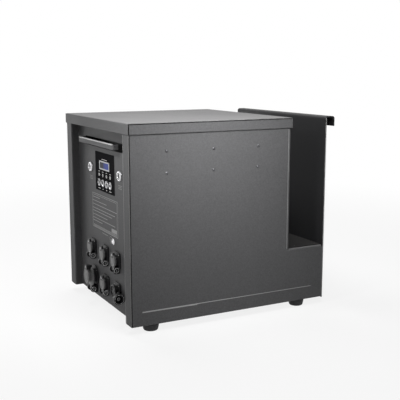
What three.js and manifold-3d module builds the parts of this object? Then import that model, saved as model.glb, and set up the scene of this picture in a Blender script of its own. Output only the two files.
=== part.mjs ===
// Stage flame machine: a sheet-metal case with a recessed control panel at its left end,
// an open flame chamber with a swivelling flame head at its right end, and the fuel system inside.
// Millimetres, +Z up. While it is built, X runs from the left end, Y from the near side
// and Z from the underside of the base. The last lines move the origin to the middle of the footprint.
import * as THREE from 'three';
import { mergeVertices } from 'three/addons/utils/BufferGeometryUtils.js';
import Module from 'manifold-3d';

const wasm = await Module();
wasm.setup();

// Case: the main box with the flame chamber behind it along X
const MAIN_LENGTH = 411;
const CHAMBER_LENGTH = 99;
const CASE_DEPTH = 418;
const CASE_HEIGHT = 450;
const CHAMBER_FLOOR = 134;
const POST_WIDTH = 36;
const RECESS = 20;
const SHEET = 1.5;
const BASE_SHEET = 2;
const BEND = 1.5;
const SEAT = 0.3;
const PAN_FLANGE = 22;
const BULK_FLANGE = 20;
const TRAY_FLANGE = 22;
const TRAY_INSET = 6;
const RELIEF = 5;

// Lid and its hinge
const LID_LIP = 24;
const LID_GAP = 0.8;
const GROOVE = 1.8;
const HINGE_MARGIN = 40;
const HINGE_LEAF = 1.2;
const LEAF_TALL = 23;
const KNUCKLE_R = 3;
const KNUCKLES = 5;
const PIN_R = 1.5;

// Side panels: the edge stops short of the chamber, with a rail at the top and a ledge for the tray
const EDGE_SETBACK = 6;
const RAIL = 14;
const LEDGE = 18;

// Heat shield
const SHIELD_SHEET = 3;
const HOOK_REACH = 26;
const HOOK_DROP = 24;

// Feet
const FOOT_R = 19;
const FOOT_HEIGHT = 18;
const FOOT_INSET_X = 57;
const FOOT_INSET_Y = 27;

// Handle slot, grip and pocket: drops are measured from the top of the case
const SLOT_HALF = 125;
const SLOT_DROP = 51;
const SLOT_TALL = 21;
const GRIP_HALF = 118;
const GRIP_PROUD = 20;
const GRIP_TALL = 12;
const GRIP_LIFT = 2.5;
const GRIP_SHEET = 3;
const GRIP_TOE = 12;
const POCKET_DEPTH = 36;
const POCKET_MARGIN = 9;

// Keypad, display and push buttons
const KEYPAD_ACROSS = -8;
const KEYPAD_HALF = 62;
const KEYPAD_DROP = 83;
const KEYPAD_TALL = 93.5;
const KEYPAD_SHEET = 0.8;
const DISPLAY_HALF = 33;
const DISPLAY_DROP = 103;
const DISPLAY_TALL = 21;
const BEZEL = 0.8;
const BUTTON_R = 9;
const BUTTON_PITCH = 24.3;
const BUTTON_RISE = 19.8;
const BUTTON_COUNT = 4;
const BUTTON_PROUD = 2;
const BUTTON_TRAVEL = 1;
const BUTTON_STEM = 6.5;

// Key switches and earth terminal
const KEY_SPREAD = 96;
const KEY_DROP = 125.5;
const KEY_R = 12;
const KEY_BARREL_R = 9.6;
const KEY_PROUD = 4;
const KEY_LONG = 26;
const PLUG_R = 6;
const PLUG_LONG = 14;
const EARTH_ACROSS = -58;
const EARTH_Z = 163;

// Connectors: two rows of three, placed from the middle of the depth
const UPPER_ROW = 124;
const LOWER_ROW = 50.5;
const SOCKET_FAR = 81;
const SOCKET_MIDDLE = -5;
const SOCKET_NEAR = -80;
const LARGE_ACROSS = 74;
const SMALL_FLANGE = 20;
const SMALL_BORE = 11.5;
const SMALL_CAP = 15.5;
const SMALL_PROUD = 14;
const SMALL_LID = 4.7;
const LARGE_FLANGE = 26;
const LARGE_BORE = 15.5;
const LARGE_CAP = 25;
const LARGE_FACE = 19;
const LARGE_NECK = 14;
const LARGE_PROUD = 26;
const LARGE_LID = 14;
const SOCKET_WALL = 2;
const SOCKET_DEPTH = 8;
const CONNECTOR_BACK = 22;
const LUG_R = 8;
const LUG_SHEET = 3;
const LUG_GAP = 10;
const CAPTIVE_R = 13;

// Flame head and its drive
const AXIS_DROP = 160;
const SHAFT_R = 10;
const SHAFT_CLEAR = 0.2;
const MODULE_SIZE = 2;
const GEAR_TEETH = 32;
const PINION_TEETH = 16;
const GEAR_WIDTH = 10;
const GEAR_SETBACK = 33;
const BACKLASH = 0.15;
const HEAD_GAP = 13;
const HEAD_WIDE = 44;
const HEAD_DEEP = 48;
const HEAD_BELOW = 30;
const HEAD_ABOVE = 46;
const NOZZLE_TALL = 36;
const ELECTRODE_R = 4.5;
const ELECTRODE_SPREAD = 17;
const SPARK_GAP = 5;
const MOTOR_HALF = 28.2;
const MOTOR_LONG = 74;
const PILOT_R = 19;
const SPINDLE_R = 4;
const BRACKET_SHEET = 3;
const BRACKET_HALF = 36;
const BRACKET_TOE = 18;
const UNION_R = 12;
const UNION_LONG = 28;

// Fuel system: the tank fills the length between the panel and the pump motor
const TANK_ROOM = 78.5;
const TANK_GAP = 15;
const TANK_NEAR = 14;
const TANK_DEEP = 176;
const TANK_TALL = 250;
const TANK_WALL = 3;
const NECK_R = 28;
const NECK_TALL = 58;
const CAP_SKIRT = 22;
const CAP_RIBS = 12;
const PUMP_SETBACK = 37.5;
const PUMP_HALF = 25;
const PUMP_WIDE = 28;
const PUMP_Y = 60;
const PUMP_Z = 42;
const PUMP_MOTOR_R = 30;
const PUMP_MOTOR_LONG = 72;
const VALVE_INSET = 88;
const VALVE_LOW = 150;
const VALVE_TALL = 30;
const VALVE_LONG = 36;
const HOSE_R = 5;
const HOSE_SWEEP = 90;
const HOSE_TURN = 24;
const HOSE_DIP = 31.7;
const FEED_OUT = 44;
const FEED_SIDE = 62;
const FEED_RISE = 84;
const BARB_R = 4;
const BARB = 12;

// Electrical units
const SUPPLY_ROOM = 48.5;
const SUPPLY_INSET = 13;
const SUPPLY_DEEP = 113;
const SUPPLY_TALL = 52;
const IGNITION_GAP = 20;
const IGNITION_SETBACK = 14.5;
const IGNITION_INSET = 53;
const IGNITION_DEEP = 65;
const IGNITION_TALL = 52;
const BOARD = 1.6;
const RELAY_WIDE = 18;
const RELAY_TALL = 22;
const RELAY_DEEP = 16;
const CHIP = 24;
const CHIP_ACROSS = 30;
const CHIP_DROP = 40;

// Facets round a full circle: a multiple of four where a round piece sits closely in a bore
const FACETS = 14;
const SHAFT_FACETS = 16;

// Values that follow from the ones above
const CASE_LENGTH = MAIN_LENGTH + CHAMBER_LENGTH;
const MID_Y = CASE_DEPTH / 2;
const WALL_TOP = CASE_HEIGHT - SHEET - SEAT;
const FRAME_TOP = WALL_TOP - SHEET - BEND;
const PANEL_BACK = RECESS + SHEET;
const POST_FAR = CASE_DEPTH - POST_WIDTH;
const SIDE_EDGE = MAIN_LENGTH - EDGE_SETBACK;
const BULK_BACK = MAIN_LENGTH - SHEET;
const PANEL_MID = MID_Y + KEYPAD_ACROSS;
const SLOT_HIGH = CASE_HEIGHT - SLOT_DROP;
const SLOT_LOW = SLOT_HIGH - SLOT_TALL;
const KEYPAD_HIGH = CASE_HEIGHT - KEYPAD_DROP;
const KEYPAD_LOW = KEYPAD_HIGH - KEYPAD_TALL;
const DISPLAY_HIGH = CASE_HEIGHT - DISPLAY_DROP;
const DISPLAY_LOW = DISPLAY_HIGH - DISPLAY_TALL;
const BUTTON_Z = KEYPAD_LOW + BUTTON_RISE;
const KEY_Z = CASE_HEIGHT - KEY_DROP;
const AXIS_Z = CASE_HEIGHT - AXIS_DROP;
const CENTRES = ((GEAR_TEETH + PINION_TEETH) * MODULE_SIZE) / 2;
const MOTOR_Z = AXIS_Z - CENTRES;
const HEAD_LEFT = MAIN_LENGTH + HEAD_GAP;
const PUMP_LEFT = BULK_BACK - PUMP_SETBACK;
const TANK_LEFT = PANEL_BACK + TANK_ROOM;
const TANK_RIGHT = PUMP_LEFT - PUMP_MOTOR_LONG - TANK_GAP;

// The hinge pin of a flap sits below its disc, so that the lugs clear the disc where they stand.
function socketSize(flange, round, bore, cap, proud, capThick) {
  const drop = Math.sqrt(cap ** 2 - LUG_GAP ** 2) + LUG_R + 1.5;
  return { flange, round, bore, cap, proud, capThick, drop, barrel: bore + SOCKET_WALL };
}

const SMALL = socketSize(SMALL_FLANGE, SMALL_FLANGE * 0.4, SMALL_BORE, SMALL_CAP, SMALL_PROUD, SMALL_LID);
const LARGE = socketSize(LARGE_FLANGE, LARGE_FLANGE, LARGE_BORE, LARGE_CAP, LARGE_PROUD, LARGE_LID);
const CONNECTORS = [
  { y: MID_Y + SOCKET_FAR, z: UPPER_ROW, size: SMALL },
  { y: MID_Y + SOCKET_MIDDLE, z: UPPER_ROW, size: SMALL },
  { y: MID_Y + SOCKET_NEAR, z: UPPER_ROW, size: SMALL },
  { y: MID_Y + LARGE_ACROSS, z: LOWER_ROW, size: LARGE },
  { y: MID_Y + SOCKET_MIDDLE, z: LOWER_ROW, size: SMALL },
];
const OPEN_CONNECTOR = { y: MID_Y + SOCKET_NEAR, z: LOWER_ROW };

// Solids and booleans

function closed(geometry) {
  const bare = geometry.clone();
  for (const name of Object.keys(bare.attributes)) {
    if (name !== 'position') bare.deleteAttribute(name);
  }
  const merged = mergeVertices(bare, 1e-4);
  const corner = merged.index.array;
  const kept = [];
  for (let i = 0; i < corner.length; i += 3) {
    const [a, b, c] = [corner[i], corner[i + 1], corner[i + 2]];
    if (a !== b && b !== c && c !== a) kept.push(a, b, c);
  }
  const place = merged.attributes.position;
  const [p, q, r] = [new THREE.Vector3(), new THREE.Vector3(), new THREE.Vector3()];
  let volume = 0;
  for (let i = 0; i < kept.length; i += 3) {
    p.fromBufferAttribute(place, kept[i]);
    q.fromBufferAttribute(place, kept[i + 1]);
    r.fromBufferAttribute(place, kept[i + 2]);
    volume += p.dot(q.cross(r));
  }
  if (volume < 0) kept.reverse();
  merged.setIndex(kept);
  merged.clearGroups();
  return merged;
}

function toSolid(geometry) {
  const body = closed(geometry);
  return new wasm.Manifold(new wasm.Mesh({
    numProp: 3,
    vertProperties: new Float32Array(body.attributes.position.array),
    triVerts: new Uint32Array(body.index.array),
  }));
}

function toGeometry(solid) {
  const { vertProperties, triVerts } = solid.getMesh();
  const geometry = new THREE.BufferGeometry();
  geometry.setAttribute('position', new THREE.BufferAttribute(new Float32Array(vertProperties), 3));
  geometry.setIndex(new THREE.BufferAttribute(new Uint32Array(triVerts), 1));
  return geometry;
}

function join(...pieces) {
  return toGeometry(pieces.map(toSolid).reduce((whole, piece) => whole.add(piece)));
}

function cut(body, ...tools) {
  return toGeometry(tools.map(toSolid).reduce((whole, tool) => whole.subtract(tool), toSolid(body)));
}

// Outlines

function arc(cx, cy, radius, from, to, steps) {
  return Array.from({ length: steps + 1 }, (_, i) => {
    const angle = from + ((to - from) * i) / steps;
    return new THREE.Vector2(cx + radius * Math.cos(angle), cy + radius * Math.sin(angle));
  });
}

function circle(cx, cy, radius, sides = FACETS) {
  return arc(cx, cy, radius, 0, 2 * Math.PI, sides).slice(0, sides);
}

function roundRect(x0, y0, x1, y1, radius, steps = 3) {
  const quarter = Math.PI / 2;
  return [
    ...arc(x1 - radius, y1 - radius, radius, 0, quarter, steps),
    ...arc(x0 + radius, y1 - radius, radius, quarter, 2 * quarter, steps),
    ...arc(x0 + radius, y0 + radius, radius, 2 * quarter, 3 * quarter, steps),
    ...arc(x1 - radius, y0 + radius, radius, 3 * quarter, 4 * quarter, steps),
  ];
}

function outline(points, holes = []) {
  const shape = new THREE.Shape(points.map((p) => new THREE.Vector2(...(p.isVector2 ? [p.x, p.y] : p))));
  shape.holes = holes.map((hole) => new THREE.Path(hole));
  return shape;
}

// A folded sheet: corner points of its middle line, thickened, with a round bend at each corner.
function folded(points, sheet = SHEET, bend = BEND, steps = 2) {
  const line = points.map(([x, y]) => new THREE.Vector2(x, y));
  const side = (a, b) => b.clone().sub(a).normalize();
  const normal = (d) => new THREE.Vector2(-d.y, d.x);
  const stations = [{ p: line[0], n: normal(side(line[0], line[1])) }];
  const radius = bend + sheet / 2;
  for (let i = 1; i < line.length - 1; i += 1) {
    const into = side(line[i - 1], line[i]);
    const away = side(line[i], line[i + 1]);
    const turn = Math.atan2(into.cross(away), into.dot(away));
    const hand = Math.sign(turn);
    const start = line[i].clone().addScaledVector(into, -radius * Math.tan(Math.abs(turn) / 2));
    const first = normal(into);
    const centre = start.clone().addScaledVector(first, hand * radius);
    for (let k = 0; k <= steps; k += 1) {
      const n = first.clone().rotateAround(new THREE.Vector2(), (turn * k) / steps);
      stations.push({ p: centre.clone().addScaledVector(n, -hand * radius), n });
    }
  }
  const last = line.length - 1;
  stations.push({ p: line[last], n: normal(side(line[last - 1], line[last])) });
  const left = stations.map(({ p, n }) => p.clone().addScaledVector(n, sheet / 2));
  const right = stations.map(({ p, n }) => p.clone().addScaledVector(n, -sheet / 2));
  return outline([...left, ...right.reverse()]);
}

// An outline pushed along an axis. The outline lies in YZ for x, in XZ for y and in XY for z.
function prism(axis, shape, from, to) {
  const geometry = new THREE.ExtrudeGeometry(shape, { depth: to - from, bevelEnabled: false, curveSegments: 12 });
  const [ex, ey, ez] = [new THREE.Vector3(1, 0, 0), new THREE.Vector3(0, 1, 0), new THREE.Vector3(0, 0, 1)];
  const turn = new THREE.Matrix4();
  if (axis === 'x') return geometry.applyMatrix4(turn.makeBasis(ey, ez, ex)).translate(from, 0, 0);
  if (axis === 'y') return geometry.applyMatrix4(turn.makeBasis(ex, ez, ey.negate())).translate(0, to, 0);
  return geometry.translate(0, 0, from);
}

function block(x0, y0, z0, x1, y1, z1) {
  const geometry = new THREE.BoxGeometry(x1 - x0, y1 - y0, z1 - z0);
  return geometry.translate((x0 + x1) / 2, (y0 + y1) / 2, (z0 + z1) / 2);
}

// A turned piece: radius and height pairs, with the height along the axis. The axis '-x' points out of the panel.
function turned(axis, profile, sides = FACETS) {
  const geometry = new THREE.LatheGeometry(profile.map(([r, h]) => new THREE.Vector2(r, h)), sides);
  if (axis === 'z') return geometry.rotateX(Math.PI / 2);
  if (axis === 'x') return geometry.rotateZ(-Math.PI / 2);
  if (axis === '-x') return geometry.rotateZ(Math.PI / 2);
  return geometry;
}

function rod(axis, radius, from, to, centre, sides = FACETS) {
  const [u, v] = centre;
  const geometry = turned(axis, [[0, from], [radius, from], [radius, to], [0, to]], sides);
  if (axis === 'z') return geometry.translate(u, v, 0);
  if (axis === 'y') return geometry.translate(u, 0, v);
  return geometry.translate(0, u, v);
}

function hose(points, radius, steps) {
  const route = new THREE.CatmullRomCurve3(points.map((p) => new THREE.Vector3(...p)), false, 'centripetal');
  const round = outline(circle(0, 0, radius, 8));
  return new THREE.ExtrudeGeometry(round, { steps, extrudePath: route, bevelEnabled: false });
}

// A spur gear outline with its first tooth at the angle given. Each flank joins the root to the tip.
function gearOutline(teeth, first, bore) {
  const pressure = (20 * Math.PI) / 180;
  const pitch = (teeth * MODULE_SIZE) / 2;
  const inv = (angle) => Math.tan(angle) - angle;
  const half = (radius) => {
    const at = Math.acos(Math.min(1, (pitch * Math.cos(pressure)) / radius));
    return Math.PI / (2 * teeth) - BACKLASH / (2 * pitch) + inv(pressure) - inv(at);
  };
  const root = pitch - 1.25 * MODULE_SIZE;
  const tip = pitch + MODULE_SIZE;
  const points = Array.from({ length: teeth }, (_, i) => {
    const centre = first + (2 * Math.PI * i) / teeth;
    const corners = [[root, -half(root)], [tip, -half(tip)], [tip, half(tip)], [root, half(root)]];
    return corners.map(([r, a]) => [r * Math.cos(centre + a), r * Math.sin(centre + a)]);
  }).flat();
  return outline(points, bore ? [circle(0, 0, bore, SHAFT_FACETS)] : []);
}

// Finishes

const finish = (color, roughness, metalness) => new THREE.MeshStandardMaterial({ color, roughness, metalness });
const FINISH = {
  casePaint: finish(0x5a5b5d, 0.6, 0.1),
  shieldPaint: finish(0x222224, 0.55, 0.1),
  rubber: finish(0x1c1c1d, 0.85, 0),
  flapRubber: finish(0x2c2d2e, 0.7, 0),
  blackPlastic: finish(0x1d1e20, 0.45, 0),
  keypadFilm: finish(0x17181a, 0.35, 0),
  bezel: finish(0xb9bcc0, 0.35, 0.6),
  chrome: finish(0xd8dadd, 0.18, 1),
  steel: finish(0x9fa2a6, 0.35, 1),
  aluminium: finish(0xb4b7ba, 0.4, 1),
  brass: finish(0xb08d4a, 0.35, 1),
  ceramic: finish(0xe9e5da, 0.3, 0),
  tankPlastic: finish(0xe4e2d8, 0.5, 0),
  hoseRubber: finish(0x26282b, 0.5, 0),
  boardGreen: finish(0x1f5a3a, 0.5, 0),
};

const nodes = [];

function node(name, geometry, material, place = [0, 0, 0]) {
  const mesh = new THREE.Mesh(closed(geometry), material);
  mesh.name = name;
  mesh.position.set(...place);
  nodes.push(mesh);
  return mesh;
}

// Case sheets

function basePan() {
  const wall = SHEET + BASE_SHEET / 2;
  const left = PANEL_BACK + SEAT;
  const low = BASE_SHEET / 2;
  const line = [[wall, PAN_FLANGE], [wall, low], [CASE_DEPTH - wall, low], [CASE_DEPTH - wall, PAN_FLANGE]];
  const pan = prism('x', folded(line, BASE_SHEET), left, CASE_LENGTH);
  const inset = POST_WIDTH + 4;
  const leftFlange = block(left, inset, 0, left + BASE_SHEET, CASE_DEPTH - inset, PAN_FLANGE);
  const rightFlange = block(CASE_LENGTH - BASE_SHEET, RELIEF, 0, CASE_LENGTH, CASE_DEPTH - RELIEF, PAN_FLANGE);
  return join(pan, leftFlange, rightFlange);
}

// The near panel is drawn at Y 0, and the far one is its mirror image across the depth.
function sidePanel(far) {
  const across = (y) => (far ? CASE_DEPTH - y : y);
  const low = BASE_SHEET;
  const relief = MAIN_LENGTH + SEAT;
  const points = [
    [0, low], [CASE_LENGTH, low], [CASE_LENGTH, CHAMBER_FLOOR - RELIEF], [relief, CHAMBER_FLOOR - RELIEF],
    [relief, CHAMBER_FLOOR - 2], [SIDE_EDGE, CHAMBER_FLOOR - 2], [SIDE_EDGE, WALL_TOP - RELIEF],
    [0, WALL_TOP - RELIEF],
  ];
  const face = prism('y', outline(points), ...[across(0), across(SHEET)].sort((m, n) => m - n));
  const strip = (top, reach) => folded([
    [across(SHEET / 2), top - 2 * RELIEF], [across(SHEET / 2), top - SHEET / 2], [across(reach), top - SHEET / 2],
  ]);
  const ledge = prism('x', strip(CHAMBER_FLOOR, LEDGE), relief, CASE_LENGTH - SHEET - BEND - SEAT);
  const rail = prism('x', strip(WALL_TOP, RAIL), PANEL_BACK + SEAT, SIDE_EDGE);
  return join(face, ledge, rail);
}

function controlPanel() {
  const half = SHEET / 2;
  const tuck = RECESS - 4;
  const line = [
    [tuck, SHEET + half], [half, SHEET + half], [half, POST_WIDTH - half], [RECESS + half, POST_WIDTH - half],
    [RECESS + half, POST_FAR + half], [half, POST_FAR + half], [half, CASE_DEPTH - SHEET - half],
    [tuck, CASE_DEPTH - SHEET - half],
  ];
  const sheet = prism('z', folded(line), BASE_SHEET, FRAME_TOP);
  const through = (shape) => prism('x', shape, RECESS - 1, PANEL_BACK + 1);
  const slot = through(outline(roundRect(MID_Y - SLOT_HALF, SLOT_LOW, MID_Y + SLOT_HALF, SLOT_HIGH, 2)));
  const windowHalf = KEYPAD_HALF - 8;
  const windowCut = through(outline(roundRect(
    PANEL_MID - windowHalf, KEYPAD_LOW + 6, PANEL_MID + windowHalf, KEYPAD_HIGH - 14, 3)));
  const keys = [-1, 1].map((side) => rod('x', KEY_BARREL_R + 0.6, RECESS - 1, PANEL_BACK + 1,
    [PANEL_MID + side * KEY_SPREAD, KEY_Z], 12));
  const earth = rod('x', 3.3, RECESS - 1, PANEL_BACK + 1, [MID_Y + EARTH_ACROSS, EARTH_Z], 12);
  const sockets = [...CONNECTORS, { ...OPEN_CONNECTOR, size: SMALL }].map(({ y, z, size }) => (
    rod('x', size.barrel + 1, RECESS - 1, PANEL_BACK + 1, [y, z], 12)));
  return cut(sheet, slot, windowCut, ...keys, earth, ...sockets);
}

function bulkhead() {
  const half = SHEET / 2;
  const back = MAIN_LENGTH - BULK_FLANGE;
  const line = [
    [back, SHEET + half], [MAIN_LENGTH - half, SHEET + half],
    [MAIN_LENGTH - half, CASE_DEPTH - SHEET - half], [back, CASE_DEPTH - SHEET - half],
  ];
  const sheet = prism('z', folded(line), BASE_SHEET + SEAT, FRAME_TOP);
  const notch = PAN_FLANGE + SEAT;
  const edge = SHEET + BASE_SHEET + BEND + SEAT;
  const nearNotch = block(back - 1, -1, 0, MAIN_LENGTH + 1, edge, notch);
  const farNotch = block(back - 1, CASE_DEPTH - edge, 0, MAIN_LENGTH + 1, CASE_DEPTH + 1, notch);
  const shaftHole = rod('x', SHAFT_R + 4, BULK_BACK - 1, MAIN_LENGTH + 1, [MID_Y, AXIS_Z]);
  return cut(sheet, nearNotch, farNotch, shaftHole);
}

function chamberTray() {
  const half = SHEET / 2;
  const line = [
    [MAIN_LENGTH + SEAT, CHAMBER_FLOOR + half], [CASE_LENGTH - half, CHAMBER_FLOOR + half],
    [CASE_LENGTH - half, CHAMBER_FLOOR - TRAY_FLANGE],
  ];
  return prism('y', folded(line), TRAY_INSET, CASE_DEPTH - TRAY_INSET);
}

function heatShield() {
  const inner = CASE_LENGTH + SHIELD_SHEET / 2;
  const outer = CASE_LENGTH + HOOK_REACH - SHIELD_SHEET / 2;
  const top = CASE_HEIGHT - SHIELD_SHEET / 2;
  const line = [[inner, 0], [inner, top], [outer, top], [outer, CASE_HEIGHT - HOOK_DROP]];
  return prism('y', folded(line, SHIELD_SHEET, 3, 4), 0, CASE_DEPTH);
}

// Lid and hinge

const LID_LEFT = -LID_GAP - SHEET;
const LID_RIGHT = MAIN_LENGTH + LID_GAP + SHEET;
const LID_LOW = CASE_HEIGHT - LID_LIP;
const HINGE_Y = CASE_DEPTH + KNUCKLE_R + 0.4;
const HINGE_Z = LID_LOW - KNUCKLE_R - 1.4;
const HINGE_FROM = HINGE_MARGIN;
const HINGE_TO = MAIN_LENGTH - HINGE_MARGIN;
const KNUCKLE_LONG = (HINGE_TO - HINGE_FROM) / KNUCKLES;
const LIP_OUT = CASE_DEPTH + LID_GAP + SHEET;

function knuckleSpan(index) {
  const from = HINGE_FROM + index * KNUCKLE_LONG;
  return [from + SEAT, from + KNUCKLE_LONG - SEAT];
}

// The four corners of the lid are welded: an upright L at each, drawn for the near left one.
function lidCorner(mirrorX, mirrorY) {
  const leg = SHEET + BEND + 0.4;
  const across = (x, y) => [mirrorX ? LID_RIGHT - x : LID_LEFT + x, mirrorY ? LIP_OUT - y : y - LID_GAP - SHEET];
  const points = [[0, 0], [leg, 0], [leg, SHEET], [SHEET, SHEET], [SHEET, leg], [0, leg]];
  const placed = points.map(([x, y]) => across(x, y));
  return prism('z', outline(mirrorX === mirrorY ? placed : placed.reverse()), LID_LOW, CASE_HEIGHT - SHEET / 2);
}

function lid() {
  const half = SHEET / 2;
  const topMid = CASE_HEIGHT - half;
  const bridge = [
    [LID_LEFT + half, LID_LOW], [LID_LEFT + half, topMid], [LID_RIGHT - half, topMid], [LID_RIGHT - half, LID_LOW],
  ];
  const [lipStart, lipEnd] = [LID_LEFT + SHEET + BEND + 0.2, LID_RIGHT - SHEET - BEND - 0.2];
  const top = prism('y', folded(bridge), 0.4, CASE_DEPTH - 0.4);
  const lip = (out, inward) => prism('x', folded([[out, LID_LOW], [out, topMid], [inward, topMid]], SHEET, 0.6),
    lipStart, lipEnd);
  const lips = [lip(-LID_GAP - half, 12), lip(CASE_DEPTH + LID_GAP + half, CASE_DEPTH - 12)];
  const corners = [[false, false], [true, false], [false, true], [true, true]].map((m) => lidCorner(...m));
  const groove = (y) => block(lipStart + 3, y, CASE_HEIGHT - 0.9, lipEnd - 3, y + GROOVE, CASE_HEIGHT + 1);
  const grooves = [groove(-LID_GAP), groove(CASE_DEPTH + LID_GAP - GROOVE)];
  const shell = cut(join(top, ...lips, ...corners), ...grooves);
  const clear = KNUCKLE_R + 0.8;
  const leafOut = LIP_OUT + HINGE_LEAF;
  const leaf = block(HINGE_FROM, LIP_OUT - 0.3, LID_LOW + 1, HINGE_TO, leafOut, HINGE_Z + LEAF_TALL);
  const tongues = [1, 3].flatMap((index) => {
    const [from, to] = knuckleSpan(index);
    return [
      block(from, LIP_OUT + 0.1, HINGE_Z, to, leafOut, LID_LOW + 3),
      rod('x', KNUCKLE_R, from, to, [HINGE_Y, HINGE_Z], 12),
    ];
  });
  const bores = [1, 3].map((index) => {
    const [from, to] = knuckleSpan(index);
    return rod('x', PIN_R + 0.4, from - 1, to + 1, [HINGE_Y, HINGE_Z], 8);
  });
  return join(shell, cut(join(leaf, ...tongues), ...bores));
}

function lidHinge() {
  const low = HINGE_Z - LEAF_TALL;
  const plate = block(HINGE_FROM, CASE_DEPTH, low, HINGE_TO, CASE_DEPTH + HINGE_LEAF, HINGE_Z - KNUCKLE_R - 0.8);
  const ears = [0, 2, 4].flatMap((index) => {
    const [from, to] = knuckleSpan(index);
    return [
      block(from, CASE_DEPTH, HINGE_Z - KNUCKLE_R - 1, to, CASE_DEPTH + HINGE_LEAF, HINGE_Z),
      rod('x', KNUCKLE_R, from, to, [HINGE_Y, HINGE_Z], 12),
    ];
  });
  const pin = rod('x', PIN_R, HINGE_FROM, HINGE_TO, [HINGE_Y, HINGE_Z], 8);
  return join(plate, ...ears, pin);
}

// Foot, drawn from its top face down

function foot() {
  const low = FOOT_R - 3;
  return turned('z', [
    [0, 0], [FOOT_R, 0], [FOOT_R, -FOOT_HEIGHT * 0.35], [low + 0.8, 1.8 - FOOT_HEIGHT], [low - 1, -FOOT_HEIGHT],
    [6, -FOOT_HEIGHT], [6, -FOOT_HEIGHT + 6], [0, -FOOT_HEIGHT + 6],
  ]);
}

// Handle

function handleGrip() {
  const mid = (SLOT_LOW + SLOT_HIGH) / 2 + GRIP_LIFT;
  const front = RECESS - GRIP_PROUD + GRIP_SHEET / 2;
  const wall = PANEL_BACK + POCKET_DEPTH - SEAT - GRIP_SHEET / 2;
  const [near, far] = [MID_Y - GRIP_HALF, MID_Y + GRIP_HALF];
  const line = [
    [wall, near - GRIP_TOE], [wall, near], [front, near], [front, far], [wall, far], [wall, far + GRIP_TOE],
  ];
  return prism('z', folded(line, GRIP_SHEET, 3), mid - GRIP_TALL / 2, mid + GRIP_TALL / 2);
}

function handlePocket() {
  const y = SLOT_HALF + POCKET_MARGIN;
  const [low, high] = [SLOT_LOW - POCKET_MARGIN, SLOT_HIGH + POCKET_MARGIN];
  const back = PANEL_BACK + POCKET_DEPTH;
  const outer = block(PANEL_BACK + SEAT, MID_Y - y, low, back + SHEET, MID_Y + y, high);
  const inner = block(PANEL_BACK - 1, MID_Y - y + SHEET, low + SHEET, back, MID_Y + y - SHEET, high - SHEET);
  return cut(outer, inner);
}

// Keypad, display, buttons and board

const KEYPAD_FRONT = RECESS - KEYPAD_SHEET;
const buttonY = (index) => PANEL_MID + (index - (BUTTON_COUNT - 1) / 2) * BUTTON_PITCH;

function keypadPlate() {
  const holes = Array.from({ length: BUTTON_COUNT }, (_, i) => circle(buttonY(i), BUTTON_Z, BUTTON_R + 0.4));
  const inset = 2;
  holes.push(roundRect(PANEL_MID - DISPLAY_HALF + inset, DISPLAY_LOW + inset, PANEL_MID + DISPLAY_HALF - inset,
    DISPLAY_HIGH - inset, 0.5, 1));
  const face = roundRect(PANEL_MID - KEYPAD_HALF, KEYPAD_LOW, PANEL_MID + KEYPAD_HALF, KEYPAD_HIGH, 2);
  return prism('x', outline(face, holes), KEYPAD_FRONT, RECESS);
}

function displayModule() {
  const inset = 2 + SEAT;
  const bezelFront = KEYPAD_FRONT - BEZEL;
  const bezel = prism('x', outline(roundRect(PANEL_MID - DISPLAY_HALF, DISPLAY_LOW, PANEL_MID + DISPLAY_HALF,
    DISPLAY_HIGH, 1)), bezelFront, KEYPAD_FRONT);
  const rear = block(bezelFront + BEZEL / 2, PANEL_MID - DISPLAY_HALF + inset, DISPLAY_LOW + inset, PANEL_BACK + 7,
    PANEL_MID + DISPLAY_HALF - inset, DISPLAY_HIGH - inset);
  const glass = block(bezelFront - 1, PANEL_MID - DISPLAY_HALF + 4, DISPLAY_LOW + 3.2, bezelFront + BEZEL,
    PANEL_MID + DISPLAY_HALF - 4, DISPLAY_HIGH - 3.2);
  return cut(join(bezel, rear), glass);
}

// The button is drawn along the way out of the panel, from the panel face.
function button() {
  const front = KEYPAD_SHEET + BUTTON_PROUD;
  const collar = BUTTON_R + 1.3;
  return turned('-x', [
    [0, front], [BUTTON_R - 1.2, front], [BUTTON_R, front - 1], [BUTTON_R, -SEAT], [collar, -SEAT],
    [collar, -SHEET], [3, -SHEET], [3, -SHEET - BUTTON_STEM], [0, -SHEET - BUTTON_STEM],
  ]);
}

const BOARD_FRONT = PANEL_BACK + BUTTON_STEM + BUTTON_TRAVEL + 1;

function controlBoard() {
  const y = KEYPAD_HALF + 6;
  const [low, high] = [KEYPAD_LOW - 8, SLOT_LOW - POCKET_MARGIN - 1];
  const board = block(BOARD_FRONT, PANEL_MID - y, low, BOARD_FRONT + BOARD, PANEL_MID + y, high);
  const posts = [-1, 1].flatMap((side) => [low + 3, high - 4].map((z) => (
    rod('x', 3, PANEL_BACK + SEAT, BOARD_FRONT + 0.5, [PANEL_MID + side * (y - 4), z], 8))));
  const back = BOARD_FRONT + BOARD / 2;
  const relays = [-45, -20, 5].map((dy) => block(
    back, PANEL_MID + dy, high - RELAY_TALL - 12, back + RELAY_DEEP, PANEL_MID + dy + RELAY_WIDE, high - 12));
  const plugs = [-50, -25, 0, 25].map((dy) => block(
    back, PANEL_MID + dy, low + 6, back + 11, PANEL_MID + dy + 20, low + 15));
  const chip = block(back, PANEL_MID + CHIP_ACROSS, high - CHIP_DROP, back + 3, PANEL_MID + CHIP_ACROSS + CHIP,
    high - CHIP_DROP + CHIP);
  return join(board, ...posts, ...relays, ...plugs, chip);
}

// Key switch and its plug, drawn along the way out of the panel

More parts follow.
